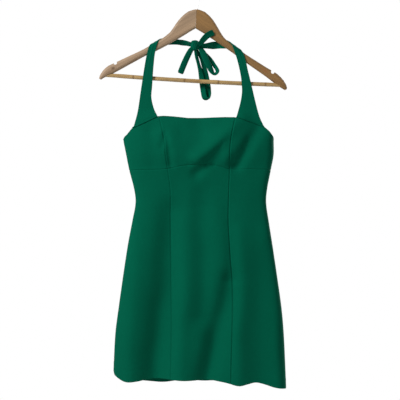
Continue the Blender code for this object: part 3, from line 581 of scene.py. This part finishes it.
def below_waist(z):
    """Share of the valley at a seam: none over the waist, and less again at the hem."""
    return ease((VALLEY_TOP - z) / 110) * (0.35 + 0.65 * ease((z - VALLEY_END) / 130))


def turned_shape(distance):
    """Rounded turned edge with a fine line where the facing is held down."""
    edge = -0.55 * hill(distance, 0.7) + 0.25 * hill(distance - 1.8, 1.1)
    return edge - 0.4 * hill(distance - 4, 0.9)


def hem_shape(distance, sizes):
    """Rounded hem edge, and the faint line of its turned-up allowance."""
    turn = sizes.hem_turn / MM
    body = 0.25 * (1 - ease((distance - turn + 2) / 4))
    return -0.5 * hill(distance, 0.8) + body - 0.28 * hill(distance - turn, 1.2)


def pucker(distance, walked, strength):
    """Small uneven ripples across a seam, dying out beside it."""
    wave = np.sin(walked / 3.1 + 1.4 * np.sin(walked / 17)) + 0.6 * np.sin(walked / 5.3 + 2)
    return strength * wave * hill(distance, 7)


def closed_mesh(name, points, faces, sharp_angle):
    mesh = bpy.data.meshes.new(name)
    mesh.from_pydata((points.reshape(-1, 3) * MM).tolist(), [], faces)
    bm = bmesh.new()
    bm.from_mesh(mesh)
    bmesh.ops.recalc_face_normals(bm, faces=bm.faces)
    if any(len(edge.link_faces) != 2 for edge in bm.edges):
        raise RuntimeError(name + " is not closed")
    bm.to_mesh(mesh)
    bm.free()
    mesh.shade_smooth()
    mesh.set_sharp_from_angle(angle=math.radians(sharp_angle))
    return mesh


def cloth_shell(name, outer, inner):
    """Thin closed shell between an outer and an inner grid of points."""
    rows, columns = outer.shape[:2]
    number = np.arange(rows * columns).reshape(rows, columns)
    quads = np.stack((number[:-1, :-1], number[:-1, 1:], number[1:, 1:], number[1:, :-1]), axis=-1)
    faces = quads.reshape(-1, 4).tolist()
    faces += (quads + number.size).reshape(-1, 4)[:, ::-1].tolist()
    rim = np.concatenate((number[0, :-1], number[:-1, -1], number[-1, :0:-1], number[:0:-1, 0]))
    ahead = np.roll(rim, -1)
    faces += np.stack((ahead, rim, rim + number.size, ahead + number.size), axis=-1).tolist()
    return closed_mesh(name, np.stack((outer, inner)), faces, SHELL_SHARPNESS)


def cloth_tube(name, rings):
    """Closed tube through rings of points, shut at both ends."""
    count, around = rings.shape[:2]
    number = np.arange(count * around).reshape(count, around)
    turned = np.roll(number, -1, axis=1)
    quads = np.stack((number[:-1], turned[:-1], turned[1:], number[1:]), axis=-1)
    faces = quads.reshape(-1, 4).tolist()
    faces.append(number[0].tolist())
    faces.append(number[-1][::-1].tolist())
    return closed_mesh(name, rings, faces, TUBE_SHARPNESS)


def add_cloth(node, mesh):
    """Links a finished piece of cloth in green crepe, rides it on the root and hides the solid
    that it replaces.
    """
    piece = bpy.data.objects.new(node + "_cloth", mesh)
    bpy.context.scene.collection.objects.link(piece)
    mesh.materials.append(bpy.data.materials.get("green crepe") or green_crepe())
    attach(piece, "root")
    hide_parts(node)


class Look:
    """A procedural material that is being made, with its nodes and its shader."""

    def __init__(self, name):
        self.material = bpy.data.materials.new(name)
        self.material.use_nodes = True
        self.tree = self.material.node_tree
        self.shader = self.tree.nodes["Principled BSDF"]

    def add(self, kind, **settings):
        """Adds a node. A setting that isn't a property of it is the value of an input."""
        node = self.tree.nodes.new("ShaderNode" + kind)
        for key, value in settings.items():
            if hasattr(node, key):
                setattr(node, key, value)
            else:
                node.inputs[key.replace("_", " ")].default_value = value
        return node

    def feed(self, socket, value):
        """Gives a socket another node's output or a plain value."""
        if isinstance(value, bpy.types.NodeSocket):
            self.tree.links.new(value, socket)
        else:
            socket.default_value = value

    def finish(self, **inputs):
        """Feeds inputs of the shader."""
        for key, value in inputs.items():
            self.feed(self.shader.inputs[key.replace("_", " ")], value)

    def place(self, scale=(1, 1, 1), turn=0, centre=(0, 0, 0)):
        """Object coordinates, moved to a centre, turned about Y and scaled."""
        mapping = self.add(
            "Mapping",
            vector_type="TEXTURE",
            Location=centre,
            Rotation=(0, turn, 0),
            Scale=[1 / share for share in scale],
        )
        self.feed(mapping.inputs["Vector"], self.add("TexCoord").outputs["Object"])
        return mapping.outputs["Vector"]

    def noise(self, place, scale, detail=3, roughness=0.5):
        node = self.add("TexNoise", Scale=scale, Detail=detail, Roughness=roughness)
        self.feed(node.inputs["Vector"], place)
        return node.outputs["Fac"]

    def fit(self, value, low, high, to_low=0, to_high=1):
        """Carries a range of values over to another range."""
        node = self.add("MapRange", From_Min=low, From_Max=high, To_Min=to_low, To_Max=to_high)
        self.feed(node.inputs["Value"], value)
        return node.outputs["Result"]

    def mix(self, share, first, second):
        """Mix of two colours, each a colour or another node's output."""
        node = self.add("Mix", data_type="RGBA")
        for name, value in (("Factor", share), ("A", first), ("B", second)):
            socket = [s for s in node.inputs if s.name == name and s.enabled][0]
            plain = name != "Factor" and not isinstance(value, bpy.types.NodeSocket)
            self.feed(socket, (*value, 1) if plain else value)
        return [s for s in node.outputs if s.enabled][0]

    def calculate(self, operation, first, second=0):
        node = self.add("Math", operation=operation)
        self.feed(node.inputs[0], first)
        self.feed(node.inputs[1], second)
        return node.outputs["Value"]

    def bump(self, height, strength, distance):
        node = self.add("Bump", Strength=strength, Distance=distance)
        self.feed(node.inputs["Height"], height)
        self.finish(Normal=node.outputs["Normal"])


def darker(colour, share):
    return tuple(channel * share for channel in colour)


def green_crepe():
    """Matt crepe: pebbly fine grain, faint slubs along the cloth and soft uneven dye."""
    colours = bpy.context.scene.dress_colours
    look = Look("green crepe")
    plain = look.place()
    dye = look.noise(plain, 7, 2)
    slub = look.calculate("MULTIPLY", look.noise(look.place((1, 1, 0.35)), 260, 3, 0.6), 0.45)
    pebble = look.calculate("MULTIPLY", look.noise(plain, 1100, 2, 0.6), 0.55)
    grain = look.calculate("ADD", slub, pebble)
    tone = look.mix(look.fit(grain, 0.3, 0.7), colours.cloth_deep, colours.cloth)
    tone = look.mix(look.fit(dye, 0.35, 0.7, 0, 0.22), tone, darker(colours.cloth_deep, 0.82))
    look.finish(
        Base_Color=tone,
        Roughness=look.fit(grain, 0.3, 0.7, 0.78, 0.92),
        Specular_IOR_Level=0.12,
        Specular_Tint=(0.05, 1, 0.75, 1),
        Sheen_Weight=0.06,
        Sheen_Roughness=0.4,
        Sheen_Tint=(0.12, 1, 0.72, 1),
    )
    look.bump(grain, 0.35, 0.0004)
    return look.material


class HALTER_OT_panels(bpy.types.Operator):
    """Makes the eight panels of bust, skirt and back as thin shells with seams and creases"""

    bl_idname = "halter_dress.make_panels"
    bl_label = "Make dress panels"

    def execute(self, context):
        left_side, right_side = fixed_angle(math.pi), fixed_angle(0)
        centre_back, full_turn = fixed_angle(1.5 * math.pi), fixed_angle(2 * math.pi)
        left_seam, right_seam = seam_angle(left_princess), seam_angle(right_princess)
        princess = ("left princess", "right princess")
        # Ends of the names, side lines, rough width for the mesh, and the seams at both sides
        fronts = (
            ("side_left", "left", left_side, left_seam, 118, ("side", "left princess")),
            ("centre", "centre", left_seam, right_seam, 145, princess),
            ("side_right", "right", right_side, right_seam, 115, ("side", "right princess")),
        )
        backs = (
            ("left", left_side, centre_back, ("side", "centre back")),
            ("right", centre_back, full_turn, ("centre back", "side")),
        )
        for bust, skirt, *sides, width, seams in fronts:
            ends = (front_top, under_bust)
            self.add_panel("bust_" + bust, "bust", sides, ends, (width, BUST_LENGTH), seams)
            ends = (under_bust, front_hem)
            name = "skirt_front_" + skirt
            self.add_panel(name, "skirt", sides, ends, (width, SKIRT_LENGTH), seams)
        for back, *sides, seams in backs:
            ends = (back_top, back_hem)
            self.add_panel("back_" + back, "back", sides, ends, BACK_SIZE, seams)
        return {"FINISHED"}

    def add_panel(self, name, part, sides, ends, extent, seams):
        """Shell of a panel between two side lines, with its top and bottom and its rough size."""
        sizes = bpy.context.scene.dress_sizes
        columns, rows = (fine_shares(length, sizes.grid_step / MM) for length in extent)
        grid, normals = panel_grid(*sides, *ends, columns, rows)
        from_first, from_last = lengths_along(grid, 1)
        from_bottom, from_top = lengths_along(grid, 0)
        lift = np.zeros_like(from_first)
        valley = np.zeros_like(from_first)
        for seam, distance in zip(seams, (from_first, from_last)):
            sunk, gathered, deep = SEAM_STRENGTHS[seam]
            ripples = pucker(distance, from_bottom, RIPPLES[part])
            lift += sunk * seam_shape(distance, sizes) + gathered * ripples
            valley += deep * below_waist(grid[..., 2]) * np.exp(-distance / VALLEY_REACH)
        grid = grid - normals * valley[..., None]
        if part == "bust":
            lift += UNDER_BUST_STRENGTH * seam_shape(from_bottom, sizes)
            away = np.abs(grid[..., 0])
            sewn = np.zeros_like(away)
            if name != "bust_centre":
                outer, inner = np.abs(LEFT_FOOT if name.endswith("left") else RIGHT_FOOT)
                sewn = ease((outer + 1.5 - away) / 3) * ease((away - inner + 1.5) / 3)
            foot_seam = FOOT_SEAM_STRENGTH * seam_shape(from_top, sizes)
            lift += blend(turned_shape(from_top), foot_seam, sewn)
        elif part == "skirt":
            lift += UNDER_BUST_STRENGTH * seam_shape(from_top, sizes)
            lift += hem_shape(from_bottom, sizes)
        else:
            lift += turned_shape(from_top) + hem_shape(from_bottom, sizes)
        outer = grid + normals * lift[..., None]
        inner = grid - normals * (sizes.wall / MM)
        add_cloth(name, cloth_shell(name, outer, inner))


def to_world(x, z):
    """Place on the tilted hanger, from its crest."""
    cosine = math.cos(HANGER_TILT)
    sine = math.sin(HANGER_TILT)
    return HANGER_CREST + np.array((x * cosine + z * sine, 0, z * cosine - x * sine))


def strap_line(outer_edge, inner_edge, height, slope, shares):
    """Points across the strap on a slanting line through its centre at a height."""
    middle = (outer_edge(height) + inner_edge(height)) / 2
    ends = []
    for edge in (outer_edge, inner_edge):
        x = edge(height)
        for _ in range(STRAP_ROUNDS):
            z = height + (x - middle) * slope
            x = edge(z)
        ends.append(np.array((float(x), 0, float(z))))
    return blend(ends[0], ends[1], shares[:, None])


class HALTER_OT_straps(bpy.types.Operator):
    """Makes the two straps, from the bust over the hanger's arms to the knot"""

    bl_idname = "halter_dress.make_straps"
    bl_label = "Make straps"

    def execute(self, context):
        sizes = context.scene.dress_sizes
        self.add_strap("left", LEFT_FOOT, LEFT_STRAP, LEFT_TIE, LEFT_ARM_TOP, sizes)
        self.add_strap("right", RIGHT_FOOT, RIGHT_STRAP, RIGHT_TIE, RIGHT_ARM_TOP, sizes)
        return {"FINISHED"}

    def add_strap(self, side, foot_ends, strap_rows, tie_rows, arm_top_rows, sizes):
        sign = -1 if side == "left" else 1
        wall = sizes.band_wall / MM
        outer_edge = curve(strap_rows, "z", "outer")
        inner_edge = curve(strap_rows, "z", "inner")
        shares = np.linspace(0, 1, STRAP_COLUMNS)

        # The arm's straight stretch, whose top edge the strap is rolled over
        tops = [to_world(sign * row[0], row[1]) for row in smooth_rows(arm_top_rows, ARM_STEPS)]
        low_end = tops[ARM_STEPS * STRAIGHT_END]
        high_end = tops[ARM_STEPS * STRAIGHT_START]
        axis = (high_end - low_end) / np.linalg.norm(high_end - low_end)
        upward = np.array((-axis[2], 0, axis[0])) * (1 if axis[0] > 0 else -1)
        arm_slope = axis[2] / axis[0]
        roll_radius = ARM_HALF_DEPTH + ARM_FIT + wall
        tops = np.array(sorted(tops, key=lambda top: top[0]))

        # The foot follows the top edge of the bust panel
        foot_x = blend(foot_ends[0], foot_ends[1], shares)
        foot_z = front_top(foot_x) + FOOT_GAP
        grid = [np.stack((foot_x, front_surface(foot_x, foot_z), foot_z), axis=-1)]
        foot_slope = (foot_z[-1] - foot_z[0]) / (foot_x[-1] - foot_x[0])
        foot_height = (foot_z[0] + foot_z[-1]) / 2

        # Height on the strap's centre line where the rounding of the arm begins
        roll_height = HANGER_CREST[2] - 90
        for _ in range(ROLL_ROUNDS):
            middle = float(outer_edge(roll_height) + inner_edge(roll_height)) / 2
            above = (np.array((middle, 0, roll_height)) - high_end) @ upward
            roll_height -= above + ARM_HALF_DEPTH

        for share in fine_shares(STRAP_LENGTH, STRAP_STEP)[1:]:
            height = blend(foot_height, roll_height, share)
            slope = blend(foot_slope, arm_slope, float(ease(share * 1.6)))
            line = strap_line(outer_edge, inner_edge, height, slope, shares)
            on_dress = front_surface(line[:, 0], line[:, 2])
            line[:, 1] = blend(on_dress, -roll_radius, float(ease(share * 1.3)))
            grid.append(line)

        # Over the arm: the strap keeps its slant while it is rolled half a turn
        lower = strap_line(outer_edge, inner_edge, roll_height - 10, arm_slope, shares)
        heading = grid[-1][STRAP_COLUMNS // 2] - lower[STRAP_COLUMNS // 2]
        heading[1] = 0
        slant = (heading @ axis) / (heading @ upward)
        start = grid[-1]
        for step in range(1, ROLL_STEPS + 1):
            turn = math.pi * step / ROLL_STEPS
            shift = axis * (roll_radius * turn * slant)
            line = start + shift + upward * (roll_radius * math.sin(turn))
            line[:, 1] = -roll_radius * math.cos(turn)
            crown = np.interp(line[:, 0], tops[:, 0], tops[:, 2])
            straight = low_end[2] + (line[:, 0] - low_end[0]) * arm_slope
            line[:, 2] += np.maximum(crown - straight, 0)
            grid.append(line)

        # Behind the arm and on to the knot
        reach = grid[-1][-1] - grid[-1][0]
        centre = (grid[-1][-1] + grid[-1][0]) / 2
        across = math.degrees(math.atan2(reach[2], reach[0]))
        rows = (TieRow(*centre, across, float(np.linalg.norm(reach))), *tie_rows)
        for x, y, z, turn, width in smooth_rows(rows, TIE_STEPS)[1:]:
            forward = -TIE_TILT * float(ease((52 - abs(x)) / 20))
            tilt = math.radians(turn)
            direction = np.array((math.cos(tilt), forward, math.sin(tilt)))
            grid.append(np.array((x, y, z)) + direction * width * (shares[:, None] - 0.5))
        grid = np.array(grid)

        normals = grid_normals(grid) * sign
        from_first, from_last = lengths_along(grid, 1)
        from_foot = lengths_along(grid, 0)[0]
        lift = turned_shape(np.minimum(from_first, from_last)) * 0.8
        lift += FOOT_SEAM_STRENGTH * seam_shape(from_foot, sizes)
        total = from_foot[-1].max()
        above_foot = ease((from_foot - 90) / 110)
        near_knot = ease((from_foot - 0.62 * total) / (0.3 * total))
        gathered = above_foot * 0.5 + near_knot * 0.6
        for place, drift, height, half_width in STRAP_CREASES:
            line = place + drift * np.sin(from_foot / 37 + 9 * place)
            lift += gathered * height * hill(shares[None, :] - line, half_width)
        outer = grid + normals * lift[..., None]
        inner = grid - normals * wall
        name = "strap_" + side
        add_cloth(name, cloth_shell(name, outer, inner))


class HALTER_OT_bow(bpy.types.Operator):
    """Makes the knot, the two loops and the two free ends of the bow"""

    bl_idname = "halter_dress.make_bow"
    bl_label = "Make bow"

    def execute(self, context):
        sizes = context.scene.dress_sizes
        bands = (
            ("bow_loop_long", LOOP_LONG, False),
            ("bow_loop_short", LOOP_SHORT, False),
            ("bow_end_low", END_LOW, True),
            ("bow_end_high", END_HIGH, True),
        )
        for name, rows, free in bands:
            self.add_band(name, rows, free, sizes.band_wall / MM)
        self.add_knot()
        return {"FINISHED"}

    def add_band(self, name, rows, free, wall):
        """Flattened tube of cloth along a smooth path, with soft creases along it."""
        table = smooth_rows(rows, BAND_STEPS)
        places = table[:, :3]
        along = unit(np.gradient(places, axis=0))
        level = unit(np.cross(along, (0, 1, 0)))
        depth = np.cross(level, along)
        turn = np.radians(table[:, 3])[:, None]
        across = level * np.cos(turn) + depth * np.sin(turn)
        facing = np.cross(across, along)
        steps = np.linalg.norm(np.diff(places, axis=0), axis=1)
        walked = np.concatenate(([0], np.cumsum(steps)))[:, None]
        around = np.linspace(0, 2 * math.pi, BAND_POINTS + 1)[None, :-1]
        side = signed_power(np.cos(around), BAND_SIDE_POWER)
        bulge = signed_power(np.sin(around), BAND_BULGE_POWER)
        width = table[:, 4][:, None]
        thick = wall * (1.3 + 0.8 * np.abs(np.sin(turn)))
        if free:
            left = walked[-1] - walked
            thick *= 0.45 + 0.55 * ease(left / 2.5)
            width = width * (0.7 + 0.3 * np.sqrt(ease(left / 3.5)))
        crease = 0.35 * hill(side - 0.15 * np.sin(walked / 9) - 0.1, 0.2)
        crease += 0.25 * hill(side + 0.5 + 0.1 * np.sin(walked / 7), 0.15)
        rise = thick * (0.5 * bulge) - np.sign(bulge) * crease * 0.9
        cup = 0.7 * (side**2 - 0.4)
        rings = places[:, None, :] + across[:, None, :] * (width * side / 2)[..., None]
        rings = rings + facing[:, None, :] * (rise + cup)[..., None]
        add_cloth(name, cloth_tube(name, rings))

    def add_knot(self):
        """Knot of the tie: a wound band over gathered cloth, with creases that run round it."""
        top = math.pi / 2 - KNOT_POLE
        rise = np.linspace(-top, top, KNOT_ROWS)[:, None]
        around = np.linspace(0, 2 * math.pi, KNOT_POINTS + 1)[:-1][None, :]
        x = np.cos(rise) * np.cos(around)
        y = np.cos(rise) * np.sin(around)
        z = np.sin(rise) + 0 * around
        direction = np.stack((x, y, z), axis=-1)
        wound = z * 0.93 + x * 0.22 - 0.52
        size = 1 + 0.08 * hill(wound, 0.2) - 0.13 * hill(wound + 0.34, 0.09)
        slanted = x * 0.94 - z * 0.2
        for place, height, half_width in KNOT_CREASES:
            crease = hill(slanted - place - 0.06 * np.sin(4 * z), half_width)
            size += height * crease * ease((0.35 - wound) * 3)
        size += 0.02 * np.sin(5 * x + 3 * z) * np.sin(6 * z - 2 * y)
        squared = signed_power(direction, KNOT_SQUARENESS) * KNOT_HALF_SIZE * size[..., None]
        turned_x = squared[..., 0] * math.cos(KNOT_TURN) - squared[..., 1] * math.sin(KNOT_TURN)
        turned_y = squared[..., 0] * math.sin(KNOT_TURN) + squared[..., 1] * math.cos(KNOT_TURN)
        rings = KNOT_CENTRE + np.stack((turned_x, turned_y, squared[..., 2]), axis=-1)
        add_cloth("bow_knot", cloth_tube("bow_knot", rings))


def wood_material(name, colour, turn, marks):
    """Planed wood: long grain along the arm, soft clouds, fine pores and a few darker marks."""
    look = Look(name)
    grain = look.noise(look.place((6, 60, 90), turn), 1, 4, 0.6)
    pores = look.noise(look.place((45, 500, 700), turn), 1, 3, 0.7)
    cloud = look.noise(look.place(), 22)
    tone = look.mix(look.fit(grain, 0.36, 0.64), darker(colour, 0.78), darker(colour, 1.08))
    tone = look.mix(look.fit(cloud, 0.4, 0.75, 0, 0.3), tone, darker(colour, 0.74))
    tone = look.mix(look.fit(pores, 0.5, 0.8, 0, 0.2), tone, darker(colour, 0.6))
    for mark in marks:
        reach = look.add("VectorMath", operation="LENGTH")
        scale = [1 / size for size in mark.radius]
        look.feed(reach.inputs[0], look.place(scale, turn, mark.centre))
        share = look.fit(reach.outputs["Value"], 1, 0.35, 0, mark.strength)
        tone = look.mix(share, tone, mark.colour)
    roughness = look.fit(grain, 0.3, 0.7, 0.62, 0.48)
    look.finish(Base_Color=tone, Roughness=roughness, Specular_IOR_Level=0.35)
    height = look.calculate("ADD", grain, look.calculate("MULTIPLY", pores, -0.4))
    look.bump(height, 0.12, 0.0003)
    return look.material


def cane_material(colour):
    """Peeled cane: fine fibres along it, brown smudges and a dark ring at each joint."""
    look = Look("peeled cane")
    fibres = look.noise(look.place((14, 260, 260), HANGER_TILT), 1, 4, 0.65)
    smudge = look.noise(look.place((22, 60, 60), HANGER_TILT), 1, 3, 0.6)
    tone = look.mix(look.fit(fibres, 0.35, 0.65), darker(colour, 0.72), darker(colour, 1.1))
    brown = (colour[0] * 0.5, colour[1] * 0.38, colour[2] * 0.25)
    tone = look.mix(look.fit(smudge, 0.52, 0.72, 0, 0.7), tone, brown)
    for joint in CANE_JOINTS:
        parts = look.add("SeparateXYZ")
        centre = tuple(to_world(joint, -BAR_DROP) * MM)
        look.feed(parts.inputs["Vector"], look.place(turn=HANGER_TILT, centre=centre))
        away = look.calculate("ABSOLUTE", parts.outputs["X"])
        tone = look.mix(look.fit(away, 0.0035, 0.0006, 0, 0.75), tone, darker(brown, 0.8))
    look.finish(Base_Color=tone, Roughness=look.fit(fibres, 0.3, 0.7, 0.5, 0.36))
    look.bump(fibres, 0.3, 0.0003)
    return look.material


def wire_material(colour):
    """Polished steel wire with a fine grain and dull patches."""
    look = Look("polished wire")
    fine = look.noise(look.place(), 900, 2)
    dull = look.noise(look.place(), 60)
    tone = look.mix(look.fit(dull, 0.35, 0.7, 0, 0.5), colour, darker(colour, 0.7))
    look.finish(Base_Color=tone, Roughness=look.fit(dull, 0.3, 0.7, 0.22, 0.42), Metallic=1)
    look.bump(fine, 0.15, 0.0002)
    return look.material


class HALTER_OT_hanger(bpy.types.Operator):
    """Gives the hanger's arms, bar and hook their wood, cane and metal"""

    bl_idname = "halter_dress.finish_hanger"
    bl_label = "Finish hanger"

    def execute(self, context):
        colours = context.scene.dress_colours
        left_wood = wood_material("pale beech", colours.wood_left, LEFT_GRAIN, LEFT_MARKS)
        right_wood = wood_material("yellow beech", colours.wood_right, RIGHT_GRAIN, RIGHT_MARKS)
        finishes = {
            "hanger_arm_left": left_wood,
            "hanger_arm_right": right_wood,
            "hanger_bar": cane_material(colours.cane),
            "hanger_hook": wire_material(colours.metal),
        }
        for name, material in finishes.items():
            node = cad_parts[name]
            if not node.material_slots:
                node.data.materials.append(material)
            for slot in node.material_slots:
                slot.material = material
        return {"FINISHED"}


class HALTER_OT_stage(bpy.types.Operator):
    """Makes the pale floor, the soft lights and the camera"""

    bl_idname = "halter_dress.make_stage"
    bl_label = "Make stage"

    def execute(self, context):
        scene = context.scene
        sizes = scene.stage_sizes
        bpy.ops.object.select_all(action="DESELECT")
        bpy.ops.mesh.primitive_circle_add(
            vertices=96, radius=2.1, fill_type="NGON", location=(STAGE_X, 0, FLOOR_Z)
        )
        floor = context.object
        floor.name = "floor"
        look = Look("pale floor")
        cloud = look.noise(look.place(), 3)
        tone = look.mix(cloud, (0.80, 0.80, 0.79), (0.84, 0.84, 0.83))
        look.finish(Base_Color=tone, Roughness=0.8)
        floor.data.materials.append(look.material)

        back_power = sizes.key_power * BACK_LIGHT_SHARE
        self.add_light("key light", (-2.05, -1.6, 1.15), 1, sizes.key_power)
        self.add_light("fill light", (2.1, -1.8, 0.3), 1.6, sizes.fill_power)
        self.add_light("back light", (2, 1.8, 0.9), 1.2, back_power)
        self.make_room(scene, sizes.sky_strength)

        camera_data = bpy.data.cameras.new("camera")
        camera_data.sensor_width = SENSOR_WIDTH
        camera_data.lens = SENSOR_WIDTH * sizes.camera_distance / sizes.view_height
        camera = bpy.data.objects.new("camera", camera_data)
        scene.collection.objects.link(camera)
        camera.location = (STAGE_X, -sizes.camera_distance, CAMERA_Z)
        camera.rotation_euler = (math.pi / 2, 0, 0)
        scene.camera = camera
        scene.view_settings.view_transform = "Standard"
        scene.view_settings.look = "None"
        return {"FINISHED"}

    def add_light(self, name, place, size, power):
        """Round soft light at a place, turned to the middle of the dress."""
        data = bpy.data.lights.new(name, "AREA")
        data.shape = "DISK"
        data.size = size
        data.energy = power
        light = bpy.data.objects.new(name, data)
        bpy.context.scene.collection.objects.link(light)
        light.location = place
        heading = LIGHT_TARGET - Vector(place)
        light.rotation_euler = heading.to_track_quat("-Z", "Y").to_euler()

    def make_room(self, scene, strength):
        """White room: the backdrop shows pure white, and its light on the dress is softer."""
        world = bpy.data.worlds.new("room")
        world.use_nodes = True
        tree = world.node_tree
        background = tree.nodes["Background"]
        background.inputs["Color"].default_value = (1, 1, 1, 1)
        path = tree.nodes.new("ShaderNodeLightPath")
        fitted = tree.nodes.new("ShaderNodeMapRange")
        fitted.inputs["To Min"].default_value = strength
        fitted.inputs["To Max"].default_value = 1
        tree.links.new(path.outputs["Is Camera Ray"], fitted.inputs["Value"])
        tree.links.new(fitted.outputs["Result"], background.inputs["Strength"])
        scene.world = world


class HALTER_PT_panel(bpy.types.Panel):
    bl_idname = "HALTER_PT_panel"
    bl_label = "Halter dress"
    bl_space_type = "VIEW_3D"
    bl_region_type = "UI"
    bl_category = "Halter dress"

    def draw(self, context):
        layout = self.layout
        for name, group in GROUPS.items():
            box = layout.box()
            for choice in group.__annotations__:
                box.prop(getattr(context.scene, name), choice)
        for operator in OPERATORS:
            layout.operator(operator.bl_idname)


OPERATORS = (HALTER_OT_panels, HALTER_OT_straps, HALTER_OT_bow, HALTER_OT_hanger, HALTER_OT_stage)
GROUPS = {"dress_sizes": DressSizes, "dress_colours": DressColours, "stage_sizes": StageSizes}
CLASSES = (*GROUPS.values(), *OPERATORS, HALTER_PT_panel)


def register():
    for cls in CLASSES:
        bpy.utils.register_class(cls)
    for name, group in GROUPS.items():
        setattr(bpy.types.Scene, name, PointerProperty(type=group))


def unregister():
    for name in GROUPS:
        delattr(bpy.types.Scene, name)
    for cls in reversed(CLASSES):
        bpy.utils.unregister_class(cls)


def main():
    register()
    bpy.ops.halter_dress.make_panels()
    bpy.ops.halter_dress.make_straps()
    bpy.ops.halter_dress.make_bow()
    bpy.ops.halter_dress.finish_hanger()
    bpy.ops.halter_dress.make_stage()
    bpy.context.view_layer.update()


if __name__ == "__main__":
    main()
